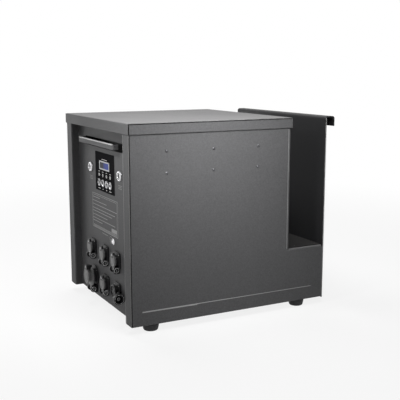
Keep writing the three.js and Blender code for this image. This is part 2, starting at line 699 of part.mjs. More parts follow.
function keySwitch() {
  return turned('-x', [
    [0, -PLUG_LONG], [PLUG_R + SEAT, -PLUG_LONG], [PLUG_R + SEAT, KEY_PROUD], [KEY_R - 2, KEY_PROUD],
    [KEY_R, KEY_PROUD / 2], [KEY_R, 0], [KEY_BARREL_R, 0], [KEY_BARREL_R, -KEY_LONG], [0, -KEY_LONG],
  ]);
}

function keyPlug() {
  const front = KEY_PROUD + 0.6;
  const back = SEAT - PLUG_LONG;
  const slot = PLUG_R * 0.6;
  const barrel = turned('-x', [
    [0, back], [PLUG_R, back], [PLUG_R, front - 0.4], [PLUG_R - 0.4, front], [0, front],
  ]);
  return cut(barrel, block(-front - 1, -0.9, -slot, -front + 5, 0.9, slot));
}

function earthTerminal() {
  return turned('-x', [
    [0, 4.8], [3.5, 4.4], [6, 1.6], [7, 1.6], [7, 0], [3, 0], [3, -SHEET - SEAT], [6, -SHEET - SEAT],
    [6, -SHEET - 5], [3, -SHEET - 5], [3, -13], [0, -13],
  ], 12);
}

// Connectors, drawn along the way out of the panel from the panel face

function lugPin(size) {
  return { out: size.proud - size.capThick - 1.3, drop: size.drop };
}

function connector(size) {
  const rim = size.proud - size.capThick - SEAT;
  const pin = lugPin(size);
  const face = roundRect(-size.flange, -size.flange, size.flange, size.flange, size.round);
  const throat = circle(0, 0, size.bore + 1);
  const flange = prism('x', outline(face, [throat]), -3, 0);
  const shell = turned('-x', [
    [0, -SOCKET_DEPTH], [size.bore, -SOCKET_DEPTH], [size.bore, rim], [size.barrel, rim],
    [size.barrel, -CONNECTOR_BACK], [0, -CONNECTOR_BACK],
  ]);
  const lug = (y) => {
    const loop = arc(-pin.out, -pin.drop, LUG_R, Math.PI / 2, (3 * Math.PI) / 2, 6);
    return prism('y', outline([...loop, [0, -pin.drop - LUG_R], [0, -pin.drop + LUG_R]]), y, y + LUG_SHEET);
  };
  const rearTop = Math.max(-pin.drop + LUG_R, 6 - size.flange);
  const rear = block(-3, -LUG_GAP - LUG_SHEET, -pin.drop - LUG_R * 0.5, 0, LUG_GAP + LUG_SHEET, rearTop);
  const steel = rod('y', 1.6, -LUG_GAP - LUG_SHEET - 1, LUG_GAP + LUG_SHEET + 1, [-pin.out, -pin.drop], 8);
  return join(flange, shell, lug(LUG_GAP), lug(-LUG_GAP - LUG_SHEET), rear, steel);
}

function flap(size) {
  const rim = size.proud - size.capThick;
  const pin = lugPin(size);
  const [plug, edge, front] = [size.bore - 0.7, size.cap, size.proud];
  const step = size === LARGE ? [[edge, rim + 3.4], [LARGE_NECK, rim + 4.4], [LARGE_NECK, front - 3.8],
    [LARGE_FACE, front - 3]] : [];
  const face = size === LARGE ? LARGE_FACE : edge;
  const disc = turned('-x', [
    [0, rim - 1.5], [plug, rim - 1.5], [plug, rim], [edge, rim], ...step, [face, front - 1], [face - 1.5, front],
    [0, front],
  ]);
  const knuckle = rod('y', 3.5, -LUG_GAP + 0.5, LUG_GAP - 0.5, [-pin.out, -pin.drop], 8);
  const arm = block(-rim - 2.6, 3 - LUG_GAP, -pin.drop, -rim, LUG_GAP - 3, -edge + 3);
  const tab = block(-rim - 2.6, -4.5, edge - 3, -rim, 4.5, edge + 4.5);
  const bore = rod('y', 2, -LUG_GAP - 1, LUG_GAP + 1, [-pin.out, -pin.drop], 8);
  return cut(join(disc, knuckle, arm, tab), bore);
}

// The sixth connector has no flap: its insulator closes the barrel, with five contact holes.
function openConnector() {
  const size = SMALL;
  const face = roundRect(-size.flange, -size.flange, size.flange, size.flange, size.round);
  const flange = prism('x', outline(face), -3, 0);
  const shell = turned('-x', [
    [0, size.proud - 2], [size.cap - 2.2, size.proud - 2], [size.cap - 2, size.proud], [size.cap, size.proud - 0.6],
    [size.cap, size.proud - 5], [size.barrel, size.proud - 6], [size.barrel, -CONNECTOR_BACK], [0, -CONNECTOR_BACK],
  ]);
  const holes = Array.from({ length: 5 }, (_, i) => {
    const angle = (2 * Math.PI * i) / 5 + Math.PI / 2;
    return rod('x', 1.8, -size.proud, -size.proud + 9, [8 * Math.cos(angle), 8 * Math.sin(angle)], 6);
  });
  const lug = block(-6, -size.flange - 3, -4, -3, -size.flange + 3, 4);
  const steel = rod('x', 1.6, -9.6, -3, [-size.flange - 0.5, 0], 8);
  return cut(join(flange, shell, lug, steel), ...holes);
}

// Its cap hangs beside it on a short strap, with the open side to the near side.
function captiveCap() {
  const cup = turned('y', [
    [0, 4], [CAPTIVE_R, 4], [CAPTIVE_R, -6], [CAPTIVE_R - 2.5, -6], [CAPTIVE_R - 2.5, 1], [4, 1], [4, -2], [0, -2],
  ], SHAFT_FACETS).translate(-13.2, -34, -9);
  const eye = prism('x', outline([...circle(-20.5, 0, 4.2, 16)], [circle(-20.5, 0, 2.1, 10)]), -8.5, -6.3);
  const strap = block(-8.5, -32, -5, -6.3, -24, 1.5);
  return join(cup, eye, strap);
}

// Flame head, shaft and gear train

const HEAD_TOP = AXIS_Z + HEAD_ABOVE;
const HEAD_MID = HEAD_LEFT + HEAD_WIDE / 2;
const GEAR_LEFT = BULK_BACK - GEAR_SETBACK;
const PLATE_LEFT = GEAR_LEFT - BRACKET_SHEET - 5;
const UNION_RIGHT = PLATE_LEFT + BRACKET_SHEET + 0.4;
const SHAFT_LEFT = UNION_RIGHT + SEAT;
const SHAFT_RIGHT = HEAD_LEFT + HEAD_WIDE / 2;
const BORE_R = SHAFT_R + SHAFT_CLEAR;

function flameHead() {
  const shape = roundRect(MID_Y - HEAD_DEEP / 2, AXIS_Z - HEAD_BELOW, MID_Y + HEAD_DEEP / 2, HEAD_TOP, 7);
  const right = HEAD_LEFT + HEAD_WIDE;
  const body = prism('x', outline(shape), HEAD_LEFT, right);
  const collar = rod('x', SHAFT_R + 6, HEAD_LEFT - 6, HEAD_LEFT + 1, [MID_Y, AXIS_Z], SHAFT_FACETS);
  const bore = rod('x', BORE_R, HEAD_LEFT - 8, SHAFT_RIGHT + SEAT, [MID_Y, AXIS_Z], SHAFT_FACETS);
  const pockets = [-1, 1].map((side) => rod('z', ELECTRODE_R + 0.2, HEAD_TOP - 14, HEAD_TOP + 1,
    [HEAD_MID, MID_Y + side * ELECTRODE_SPREAD], 12));
  const fins = [0, 1, 2, 3].map((i) => {
    const low = AXIS_Z - HEAD_BELOW + 8 + 11 * i;
    return block(right - 6, MID_Y - HEAD_DEEP, low, right + 1, MID_Y + HEAD_DEEP, low + 5);
  });
  return cut(join(body, collar), bore, ...pockets, ...fins);
}

function nozzle() {
  const z = HEAD_TOP;
  const hex = prism('z', outline(circle(HEAD_MID, MID_Y, 10, 6)), z, z + 8);
  const stem = turned('z', [
    [0, z + 4], [8, z + 4], [8, z + 18], [5.5, z + 26], [5.5, z + NOZZLE_TALL], [2, z + NOZZLE_TALL],
    [1.6, z + NOZZLE_TALL - 10], [0, z + NOZZLE_TALL - 10],
  ]).translate(HEAD_MID, MID_Y, 0);
  return join(hex, stem);
}

function electrode(side) {
  const y = MID_Y + side * ELECTRODE_SPREAD;
  const ceramic = turned('z', [
    [0, HEAD_TOP - 13], [ELECTRODE_R, HEAD_TOP - 13], [ELECTRODE_R, HEAD_TOP + 6], [ELECTRODE_R + 1, HEAD_TOP + 8],
    [ELECTRODE_R + 1, HEAD_TOP + 11], [ELECTRODE_R, HEAD_TOP + 13], [ELECTRODE_R - 1, HEAD_TOP + 30],
    [0, HEAD_TOP + 30],
  ], 12).translate(HEAD_MID, y, 0);
  const tip = HEAD_TOP + NOZZLE_TALL + 5;
  const inner = MID_Y + side * (SPARK_GAP / 2);
  const points = [[y, HEAD_TOP + 25], [y, tip], [inner, tip]];
  const wire = prism('x', folded(points, 2, 1.5), HEAD_MID - 1, HEAD_MID + 1);
  return join(ceramic, wire);
}

function swivelShaft() {
  return turned('x', [
    [0, SHAFT_LEFT], [SHAFT_R - 2, SHAFT_LEFT], [SHAFT_R - 2, GEAR_LEFT - 2], [SHAFT_R, GEAR_LEFT - 2],
    [SHAFT_R, SHAFT_RIGHT - 1], [SHAFT_R - 1, SHAFT_RIGHT], [0, SHAFT_RIGHT],
  ], SHAFT_FACETS).translate(0, MID_Y, AXIS_Z);
}

function swivelGear() {
  const wheel = prism('x', gearOutline(GEAR_TEETH, -Math.PI / 2, BORE_R), GEAR_LEFT, GEAR_LEFT + GEAR_WIDTH);
  const ring = outline(circle(0, 0, SHAFT_R + 6, SHAFT_FACETS), [circle(0, 0, BORE_R, SHAFT_FACETS)]);
  const hub = prism('x', ring, GEAR_LEFT + GEAR_WIDTH - 1, GEAR_LEFT + GEAR_WIDTH + 5);
  return join(wheel, hub).translate(0, MID_Y, AXIS_Z);
}

function bearingHousing() {
  const left = BULK_BACK - 16;
  const [bore, shell, flange] = [BORE_R + SHAFT_CLEAR, SHAFT_R + 11, SHAFT_R + 22];
  return turned('x', [
    [bore, left], [shell - 2, left], [shell, left + 2], [shell, BULK_BACK - 5], [flange, BULK_BACK - 5],
    [flange, BULK_BACK - SEAT], [bore, BULK_BACK - SEAT], [bore, left],
  ], SHAFT_FACETS).translate(0, MID_Y, AXIS_Z);
}

function motorPinion() {
  const gap = Math.PI / 2 + Math.PI / PINION_TEETH;
  const wheel = prism('x', gearOutline(PINION_TEETH, gap), GEAR_LEFT - 1, GEAR_LEFT + GEAR_WIDTH + 1);
  const spindle = rod('x', SPINDLE_R, PLATE_LEFT + SEAT, GEAR_LEFT + 1, [0, 0], 12);
  return join(wheel, spindle).translate(0, MID_Y, MOTOR_Z);
}

function motorBracket() {
  const foot = BULK_BACK - SEAT - BRACKET_SHEET / 2;
  const front = PLATE_LEFT + BRACKET_SHEET / 2;
  const toe = BRACKET_HALF + BRACKET_TOE;
  const line = [
    [foot, MID_Y - toe], [foot, MID_Y - BRACKET_HALF], [front, MID_Y - BRACKET_HALF],
    [front, MID_Y + BRACKET_HALF], [foot, MID_Y + BRACKET_HALF], [foot, MID_Y + toe],
  ];
  const legs = prism('z', folded(line, BRACKET_SHEET, 2), MOTOR_Z - MOTOR_HALF, AXIS_Z - 20);
  const ear = roundRect(MID_Y - 26, AXIS_Z - 30, MID_Y + 26, AXIS_Z + 22, 8);
  const tall = prism('x', outline(ear), PLATE_LEFT, PLATE_LEFT + BRACKET_SHEET);
  const through = (radius, z, sides) => (
    rod('x', radius, PLATE_LEFT - 1, PLATE_LEFT + BRACKET_SHEET + 1, [MID_Y, z], sides));
  return cut(join(legs, tall), through(PILOT_R + 0.5, MOTOR_Z), through(UNION_R + SEAT, AXIS_Z, SHAFT_FACETS));
}

function swivelMotor() {
  const face = PLATE_LEFT - SEAT;
  const back = face - MOTOR_LONG;
  const square = (half, corner) => (
    outline(roundRect(MID_Y - half, MOTOR_Z - half, MID_Y + half, MOTOR_Z + half, corner, 2)));
  const front = prism('x', square(MOTOR_HALF, 4), face - 12, face);
  const core = prism('x', square(MOTOR_HALF - 2, 6), back + 10, face - 10);
  const rear = prism('x', square(MOTOR_HALF, 4), back, back + 12);
  const pilot = rod('x', PILOT_R, face - 1, face + 2, [MID_Y, MOTOR_Z]);
  const low = MOTOR_Z - MOTOR_HALF;
  const plug = block(back + 2, MID_Y - 8, low - 5, back + 14, MID_Y + 8, low + 1);
  return cut(join(front, core, rear, pilot, plug), rod('x', SPINDLE_R + 1, face - 1, face + 4, [MID_Y, MOTOR_Z], 16));
}

function rotaryUnion() {
  const [left, barb] = [UNION_RIGHT - UNION_LONG, UNION_RIGHT - UNION_LONG - BARB];
  return turned('x', [
    [0, barb], [BARB_R, barb], [BARB_R, left - 3], [7, left - 3], [9, left], [UNION_R, left], [UNION_R, UNION_RIGHT],
    [0, UNION_RIGHT],
  ], SHAFT_FACETS).translate(0, MID_Y, AXIS_Z);
}

// Fuel system

const TANK_FAR = TANK_NEAR + TANK_DEEP;
const TANK_TOP = BASE_SHEET + TANK_TALL;
const NECK_X = TANK_LEFT + (TANK_RIGHT - TANK_LEFT) * 0.45;
const NECK_Y = TANK_NEAR + TANK_DEEP / 2;
const NECK_TOP = TANK_TOP + NECK_TALL;
const OUTLET_Y = NECK_Y;
const OUTLET_Z = BASE_SHEET + 26;

function tankBlock(inset, low, high) {
  const shape = roundRect(TANK_LEFT + inset, TANK_NEAR + inset, TANK_RIGHT - inset, TANK_FAR - inset, 16 - inset);
  return prism('z', outline(shape), low + inset, high - inset);
}

function fuelTank() {
  const shoulder = roundRect(TANK_LEFT + 5, TANK_NEAR + 5, TANK_RIGHT - 5, TANK_FAR - 5, 12);
  const body = join(tankBlock(0, BASE_SHEET, TANK_TOP - 5), prism('z', outline(shoulder), TANK_TOP - 8, TANK_TOP));
  const neck = rod('z', NECK_R, TANK_TOP - 1, NECK_TOP, [NECK_X, NECK_Y]);
  const barb = rod('x', BARB_R, TANK_RIGHT - 1, TANK_RIGHT + BARB, [OUTLET_Y, OUTLET_Z], 12);
  const boss = rod('x', 9, TANK_RIGHT - 1, TANK_RIGHT + 4, [OUTLET_Y, OUTLET_Z], 16);
  const hollow = tankBlock(TANK_WALL, BASE_SHEET, TANK_TOP - 5);
  const mouth = rod('z', NECK_R - 4, TANK_TOP - 20, NECK_TOP + 1, [NECK_X, NECK_Y]);
  return cut(join(body, neck, boss, barb), hollow, mouth);
}

function fuelCap() {
  const top = NECK_TOP + 7;
  const radius = NECK_R + 4.5;
  const shell = turned('z', [
    [0, NECK_TOP + SEAT], [NECK_R + 0.8, NECK_TOP + SEAT], [NECK_R + 0.8, top - CAP_SKIRT],
    [radius, top - CAP_SKIRT],
    [radius, top - 1.5], [radius - 1.5, top], [0, top],
  ]);
  const ribs = Array.from({ length: CAP_RIBS }, (_, i) => {
    const angle = (2 * Math.PI * i) / CAP_RIBS;
    return block(radius - 1, -1.6, top - CAP_SKIRT + 1, radius + 1.4, 1.6, top - 3).rotateZ(angle);
  });
  const grip = block(-radius + 6, -4, top - 1, radius - 6, 4, top + 7);
  return join(shell, ...ribs, grip).translate(NECK_X, NECK_Y, 0);
}

const PORT_X = PUMP_LEFT + PUMP_WIDE / 2;

function pumpMotor() {
  const [left, right, body] = [PUMP_LEFT - PUMP_MOTOR_LONG, PUMP_LEFT - SEAT, PUMP_MOTOR_R];
  const neck = body - 4;
  const can = turned('x', [
    [0, left], [neck - 4, left], [neck - 2, left + 2], [neck - 2, left + 6], [body, left + 8], [body, right - 5.7],
    [neck, right - 3.7], [neck, right], [0, right],
  ]).translate(0, PUMP_Y, PUMP_Z);
  const saddle = block(left + 12, PUMP_Y - 22, BASE_SHEET, left + 52, PUMP_Y + 22, PUMP_Z - 18);
  return join(can, saddle);
}

function fuelPump() {
  const [y, z, half] = [PUMP_Y, PUMP_Z, PUMP_HALF];
  const right = PUMP_LEFT + PUMP_WIDE;
  const body = prism('x', outline(roundRect(y - half, z - half, y + half, z + half, 6)), PUMP_LEFT, right);
  const cover = rod('x', half - 7, right - 1, right + 6, [y, z]);
  const side = rod('y', BARB_R, y + half - 1, y + half + BARB - 1, [PORT_X, z], 12);
  const up = rod('z', BARB_R, z + half - 1, z + half + BARB - 1, [PORT_X, y], 12);
  const stand = block(PUMP_LEFT + 4, y - 20, BASE_SHEET, right - 4, y + 20, z - half + 3);
  return join(body, cover, side, up, stand);
}

const VALVE_Y = CASE_DEPTH - VALVE_INSET;
const VALVE_RIGHT = BULK_BACK - SEAT;
const VALVE_LEFT = VALVE_RIGHT - VALVE_LONG;
const VALVE_TOP = VALVE_LOW + VALVE_TALL;
const OUTLET_END = VALVE_LEFT - BARB;

function solenoidValve() {
  const y = VALVE_Y;
  const body = block(VALVE_LEFT, y - 18, VALVE_LOW, VALVE_RIGHT, y + 18, VALVE_TOP);
  const shape = roundRect(VALVE_LEFT + 2, y - 15, VALVE_RIGHT - 4, y + 15, 4);
  const coil = prism('z', outline(shape), VALVE_TOP - 1, VALVE_TOP + 42);
  const tube = rod('z', 6, VALVE_TOP + 40, VALVE_TOP + 52, [VALVE_LEFT + 17, y], 16);
  const inlet = rod('z', BARB_R, VALVE_LOW - BARB, VALVE_LOW + 1, [PORT_X, y], 12);
  const outlet = rod('x', BARB_R, OUTLET_END, VALVE_LEFT + 1, [y, VALVE_LOW + VALVE_TALL / 2], 12);
  return join(body, coil, tube, inlet, outlet);
}

function suctionHose() {
  const end = PUMP_Y + PUMP_HALF + BARB - 1 + SEAT;
  const [y, z] = [OUTLET_Y, OUTLET_Z];
  const start = TANK_RIGHT + BARB;
  return hose([
    [start + SEAT, y, z], [start + 12, y, z], [start + 40, y + 12, z + 2], [PORT_X - 22, y + 34, PUMP_Z - 4],
    [PORT_X - 4, y + 28, PUMP_Z], [PORT_X, end + 10, PUMP_Z], [PORT_X, end, PUMP_Z],
  ], HOSE_R, 10);
}

function pressureHose() {
  const start = PUMP_Z + PUMP_HALF + BARB - 1 + SEAT;
  const end = VALVE_LOW - BARB - SEAT;
  const [low, y] = [end - HOSE_DIP + 6, VALVE_Y];
  return hose([
    [PORT_X, PUMP_Y, start], [PORT_X, PUMP_Y, start + 12], [PORT_X, PUMP_Y + HOSE_TURN, start + 34],
    [PORT_X, PUMP_Y + HOSE_SWEEP, low], [PORT_X, y - HOSE_SWEEP, low], [PORT_X, y - HOSE_TURN, end - HOSE_DIP],
    [PORT_X, y - 4, low],
    [PORT_X, y, end - 10], [PORT_X, y, end],
  ], HOSE_R, 17);
}

function feedHose() {
  const start = OUTLET_END - SEAT;
  const z = VALVE_LOW + VALVE_TALL / 2;
  const end = UNION_RIGHT - UNION_LONG - BARB - SEAT;
  return hose([
    [start, VALVE_Y, z], [start - 12, VALVE_Y, z], [start - FEED_OUT, VALVE_Y - 12, z + 30],
    [end - 36, MID_Y + FEED_SIDE, z + FEED_RISE],
    [end - 30, MID_Y + 20, AXIS_Z - 6], [end - 12, MID_Y, AXIS_Z], [end, MID_Y, AXIS_Z],
  ], HOSE_R, 13);
}

// Electrical units on the base

function powerSupply() {
  const [left, right, top] = [PANEL_BACK + SUPPLY_ROOM, TANK_RIGHT, BASE_SHEET + SUPPLY_TALL];
  const far = CASE_DEPTH - SUPPLY_INSET;
  const near = far - SUPPLY_DEEP;
  const can = block(left, near, BASE_SHEET, right, far, top);
  const bay = block(left - 1, near + 4, BASE_SHEET + 14, left + 18, far - 4, top + 1);
  const slots = Array.from({ length: 9 }, (_, i) => {
    const x = left + 60 + i * 14;
    return block(x, near + 20, top - 2, x + 4, far - 20, top + 1);
  });
  const terminals = Array.from({ length: 7 }, (_, i) => {
    const y = near + 10 + i * 14;
    return block(left + 6, y, BASE_SHEET + 13, left + 16, y + 10, BASE_SHEET + 22);
  });
  return join(cut(can, bay, ...slots), ...terminals);
}

function ignitionTransformer() {
  const [left, right, top] = [TANK_RIGHT + IGNITION_GAP, BULK_BACK - IGNITION_SETBACK, BASE_SHEET + IGNITION_TALL];
  const far = CASE_DEPTH - IGNITION_INSET;
  const near = far - IGNITION_DEEP;
  const body = prism('z', outline(roundRect(left, near, right, far, 6)), BASE_SHEET, top);
  const towers = [-14, 14].map((dx) => turned('z', [
    [0, top - 1], [9, top - 1], [7, top + 14], [4, top + 14], [4, top + 20], [0, top + 20],
  ], 12).translate((left + right) / 2 + dx, (near + far) / 2, 0));
  return join(body, ...towers);
}

// Assembly

node('base_pan', basePan(), FINISH.shieldPaint);
node('near_side_panel', sidePanel(false), FINISH.casePaint);
node('far_side_panel', sidePanel(true), FINISH.casePaint);
node('control_panel', controlPanel(), FINISH.casePaint);
node('bulkhead', bulkhead(), FINISH.casePaint);
node('chamber_tray', chamberTray(), FINISH.shieldPaint);
node('heat_shield', heatShield(), FINISH.shieldPaint);
node('lid', lid(), FINISH.casePaint);
node('lid_hinge', lidHinge(), FINISH.steel);

for (const [end, x] of [['left', FOOT_INSET_X], ['right', CASE_LENGTH - FOOT_INSET_X]]) {
  for (const [side, y] of [['near', FOOT_INSET_Y], ['far', CASE_DEPTH - FOOT_INSET_Y]]) {
    node(`foot_${side}_${end}`, foot(), FINISH.rubber, [x, y, 0]);
  }
}

node('handle_grip', handleGrip(), FINISH.casePaint);
node('handle_pocket', handlePocket(), FINISH.shieldPaint);
node('keypad_plate', keypadPlate(), FINISH.keypadFilm);
node('display_module', displayModule(), FINISH.bezel);
for (let i = 0; i < BUTTON_COUNT; i += 1) {
  node(`button_${i + 1}`, button(), FINISH.chrome, [RECESS, buttonY(i), BUTTON_Z]);
}
node('control_board', controlBoard(), FINISH.boardGreen);
for (const [side, sign] of [['near', -1], ['far', 1]]) {
  const place = [RECESS, PANEL_MID + sign * KEY_SPREAD, KEY_Z];
  node(`key_switch_${side}`, keySwitch(), FINISH.chrome, place);
  node(`key_plug_${side}`, keyPlug(), FINISH.steel, place);
}
node('earth_terminal', earthTerminal(), FINISH.chrome, [RECESS, MID_Y + EARTH_ACROSS, EARTH_Z]);
CONNECTORS.forEach(({ y, z, size }, i) => {
  node(`connector_${i + 1}`, connector(size), FINISH.blackPlastic, [RECESS, y, z]);
  node(`connector_flap_${i + 1}`, flap(size), FINISH.flapRubber, [RECESS, y, z]);
});
const openPlace = [RECESS, OPEN_CONNECTOR.y, OPEN_CONNECTOR.z];
node('connector_6', openConnector(), FINISH.blackPlastic, openPlace);
node('captive_cap', captiveCap(), FINISH.rubber, openPlace);

node('flame_head', flameHead(), FINISH.aluminium);
node('nozzle', nozzle(), FINISH.brass);
node('electrode_near', electrode(-1), FINISH.ceramic);
node('electrode_far', electrode(1), FINISH.ceramic);
node('swivel_shaft', swivelShaft(), FINISH.steel);
node('swivel_gear', swivelGear(), FINISH.steel);
node('bearing_housing', bearingHousing(), FINISH.aluminium);
node('motor_pinion', motorPinion(), FINISH.brass);
node('motor_bracket', motorBracket(), FINISH.steel);
node('swivel_motor', swivelMotor(), FINISH.blackPlastic);
node('rotary_union', rotaryUnion(), FINISH.brass);

node('fuel_tank', fuelTank(), FINISH.tankPlastic);
node('fuel_cap', fuelCap(), FINISH.blackPlastic);
node('pump_motor', pumpMotor(), FINISH.steel);
node('fuel_pump', fuelPump(), FINISH.aluminium);
node('solenoid_valve', solenoidValve(), FINISH.brass);
node('suction_hose', suctionHose(), FINISH.hoseRubber);
node('pressure_hose', pressureHose(), FINISH.hoseRubber);
node('feed_hose', feedHose(), FINISH.hoseRubber);
node('power_supply', powerSupply(), FINISH.aluminium);
node('ignition_transformer', ignitionTransformer(), FINISH.blackPlastic);

// The origin goes to the middle of the footprint of everything, at the underside of the feet.
const machine = new THREE.Group();
machine.add(...nodes);
machine.updateMatrixWorld(true);
const reach = new THREE.Box3().setFromObject(machine, true);
machine.position.set(-(reach.min.x + reach.max.x) / 2, -(reach.min.y + reach.max.y) / 2, -reach.min.z);

export default machine;
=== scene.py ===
"""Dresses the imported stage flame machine: finishes for its nodes, and finer pieces in place of some."""

import math

import bmesh
import bpy
from bpy.props import FloatProperty, FloatVectorProperty, IntProperty, PointerProperty
from mathutils import Matrix, Vector
from mathutils.geometry import tessellate_polygon


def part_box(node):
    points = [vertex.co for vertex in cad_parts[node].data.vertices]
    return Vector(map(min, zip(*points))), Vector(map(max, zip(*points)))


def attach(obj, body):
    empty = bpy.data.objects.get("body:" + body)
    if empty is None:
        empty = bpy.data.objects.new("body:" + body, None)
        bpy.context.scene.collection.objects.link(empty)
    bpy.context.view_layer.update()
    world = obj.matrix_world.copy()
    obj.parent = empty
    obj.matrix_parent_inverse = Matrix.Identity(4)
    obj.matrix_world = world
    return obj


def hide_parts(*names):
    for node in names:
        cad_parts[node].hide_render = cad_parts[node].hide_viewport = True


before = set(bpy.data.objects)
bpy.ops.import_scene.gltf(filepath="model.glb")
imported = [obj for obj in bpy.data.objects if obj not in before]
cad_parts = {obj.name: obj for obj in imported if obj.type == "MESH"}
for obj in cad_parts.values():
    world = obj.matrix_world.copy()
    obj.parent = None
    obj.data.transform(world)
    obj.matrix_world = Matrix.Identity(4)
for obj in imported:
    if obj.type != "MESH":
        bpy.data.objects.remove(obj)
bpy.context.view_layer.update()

bl_info = {
    "name": "Stage flame machine",
    "version": (1, 0, 0),
    "blender": (4, 5, 0),
    "location": "3D View > Sidebar > Flame machine",
    "description": "Finishes and fine pieces of a stage flame machine, built round its packed model",
    "category": "Object",
}

MM = 0.001
BASE_SHEET = 2.0

# The case corner: near side, left end, at the underside of the case. Places below are in mm from it.
_panel_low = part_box("near_side_panel")[0]
CORNER = Vector((_panel_low.x, _panel_low.y, _panel_low.z - BASE_SHEET * MM))

OUT = (-1, 0, 0)
RIGHT = (1, 0, 0)
NEAR = (0, -1, 0)
FAR = (0, 1, 0)
UP = (0, 0, 1)
DOWN = (0, 0, -1)
QUARTER = math.pi / 2
ARC = [QUARTER * k / 6 for k in range(7)]

# Sizes shared with the CAD source, in mm
CASE_DEPTH = 418.0
MID_Y = CASE_DEPTH / 2
SIDE_TOP = 424.0
RECESS = 20.0
SHEET = 1.5
TRAY_Z = 134.0
SMALL = {"flange": 20.0, "round": 8.0, "bore": 11.5, "barrel": 13.5, "cap": 15.5, "proud": 14.0, "lid": 4.7}
LARGE = {"flange": 26.0, "round": 26.0, "bore": 15.5, "barrel": 17.5, "cap": 25.0, "proud": 26.0, "lid": 14.0}
LARGE_FACE = 19.0
LARGE_NECK = 14.0
LUG_R = 8.0
LUG_SHEET = 3.0
LUG_GAP = 10.0
LUG_SPAN = LUG_GAP + LUG_SHEET
FLANGE = 3.0
SOCKET_DEPTH = 8.0
CONNECTOR_BACK = 22.0
CONTACTS = 5
SOCKETS = [
    (MID_Y + 81, 124.0, SMALL),
    (MID_Y - 5, 124.0, SMALL),
    (MID_Y - 80, 124.0, SMALL),
    (MID_Y + 74, 50.5, LARGE),
    (MID_Y - 5, 50.5, SMALL),
]
OPEN_SOCKET = (MID_Y - 80, 50.5)
SCREW_SPAN = 15.5
OPEN_SCREW_SPAN = 14.5
CAP_STUD = 20.5
PLUG_PLAY = 0.7
PANEL_MID = MID_Y - 8
KEYPAD = {"half": 62.0, "low": 273.5, "high": 367.0, "sheet": 0.8}
DISPLAY = {"half": 33.0, "low": 326.0, "high": 347.0}
BUTTON_Z = 293.3
BUTTON_PITCH = 24.3
LAMP_Z = 312.5
KEYS = {"near": PANEL_MID - 96, "far": PANEL_MID + 96}
KEY_Z = 324.5
EARTH = (MID_Y - 58, 163.0)
GRIP = {"half": 118.0, "front": 0.0, "back": 57.2, "sheet": 3.0, "low": 385.0, "high": 397.0, "toe": 12.0,
        "turn": 12.0, "bend": 3.0}
FEET = {
    "near_left": (57.0, 27.0),
    "far_left": (57.0, CASE_DEPTH - 27),
    "near_right": (453.0, 27.0),
    "far_right": (453.0, CASE_DEPTH - 27),
}
HEAD = {"left": 424.0, "mid": 446.0, "top": 336.0, "axis": 290.0, "motor": 242.0}
TANK = {"neck_x": 183.25, "neck_y": 102.0, "neck_top": 310.0}
PUMP = {"y": 60.0, "z": 42.0, "motor": 372.0, "end": 406.0}
BOARD = {"back": 31.6, "low": 265.5, "high": 368.0, "half": 68.0, "sheet": 1.6}

# How far printing stands off its face, and how far it reaches into it, in mm
PRINT = 0.06
SINK = 0.01

# Points closer than this are one point, in metres for meshes and in mm for the radius of a profile
SAME_PLACE = 1e-6

# A rounded corner takes at most this share of a side. It stays sharp where the cut would be under so
# many mm, or where the profile turns by less than so many radians.
CUT_SHARE = 0.45
LEAST_CUT = 0.02
LEAST_TURN = 0.15

# In degrees: edges that a bevel rounds, and edges that stay sharp in the shading
BEVEL_ANGLE = 40
SHARP_ANGLE = 38

# Where the camera stands, in mm, and the width of its sensor
CAMERA_PLACE = (-599.96, -1474.16, 565.91)
SENSOR = 36.0

# Each lamp's place and target in metres, its size, its power, and its spread in degrees
LAMPS = {
    "overhead lamp": ((-0.15, 0.35, 1.6), (-0.1, 0.1, 0.4), 0.7, 25, 180),
    "side lamp": ((-0.9, 1.9, 0.2), (-0.25, 0.0, 0.2), 0.9, 8, 180),
    "left lamp": ((-0.70, -0.42, 0.82), (-0.27, -0.2, 0.46), 0.15, 0.35, 50),
    "front lamp": ((-0.08, -0.6, 0.78), (-0.05, -0.2, 0.42), 0.35, 1.75, 80),
}
FLOOR = {"radius": 9.0, "sides": 96, "near": 0.5, "far": 2.2, "share": 0.85}


def spot(x, y, z):
    """A place in the row frame, in metres, from mm in the case."""
    return CORNER + Vector((x, y, z)) * MM


# Settings


def colour(name, description, *default):
    """A colour setting."""
    return FloatVectorProperty(name=name, description=description, subtype="COLOR", default=default)


def length(name, description, default):
    """A length setting, with its default in mm."""
    return FloatProperty(name=name, description=description, default=default * MM, unit="LENGTH")


def angle(name, description, default):
    """An angle setting, with its default in degrees."""
    return FloatProperty(
        name=name, description=description, subtype="ANGLE", default=math.radians(default))


class FlameMachineFinish(bpy.types.PropertyGroup):
    """Colours of the machine's finishes."""

    case_paint: colour("Case paint", "Powder coat of the case", 0.080, 0.080, 0.082)
    chamber_paint: colour("Chamber paint", "Black powder coat of the heat shield", 0.017, 0.017, 0.018)
    rubber: colour("Rubber", "Feet", 0.018, 0.018, 0.019)
    flap: colour("Flap", "Connector flaps", 0.14, 0.14, 0.14)
    moulding: colour("Moulding", "Black connector and cap mouldings", 0.014, 0.014, 0.015)
    film: colour("Keypad film", "Black film of the keypad", 0.010, 0.010, 0.011)
    screen: colour("Screen", "Lit display", 0.022, 0.045, 0.26)
    tank: colour("Tank", "Natural tank plastic", 0.70, 0.69, 0.63)


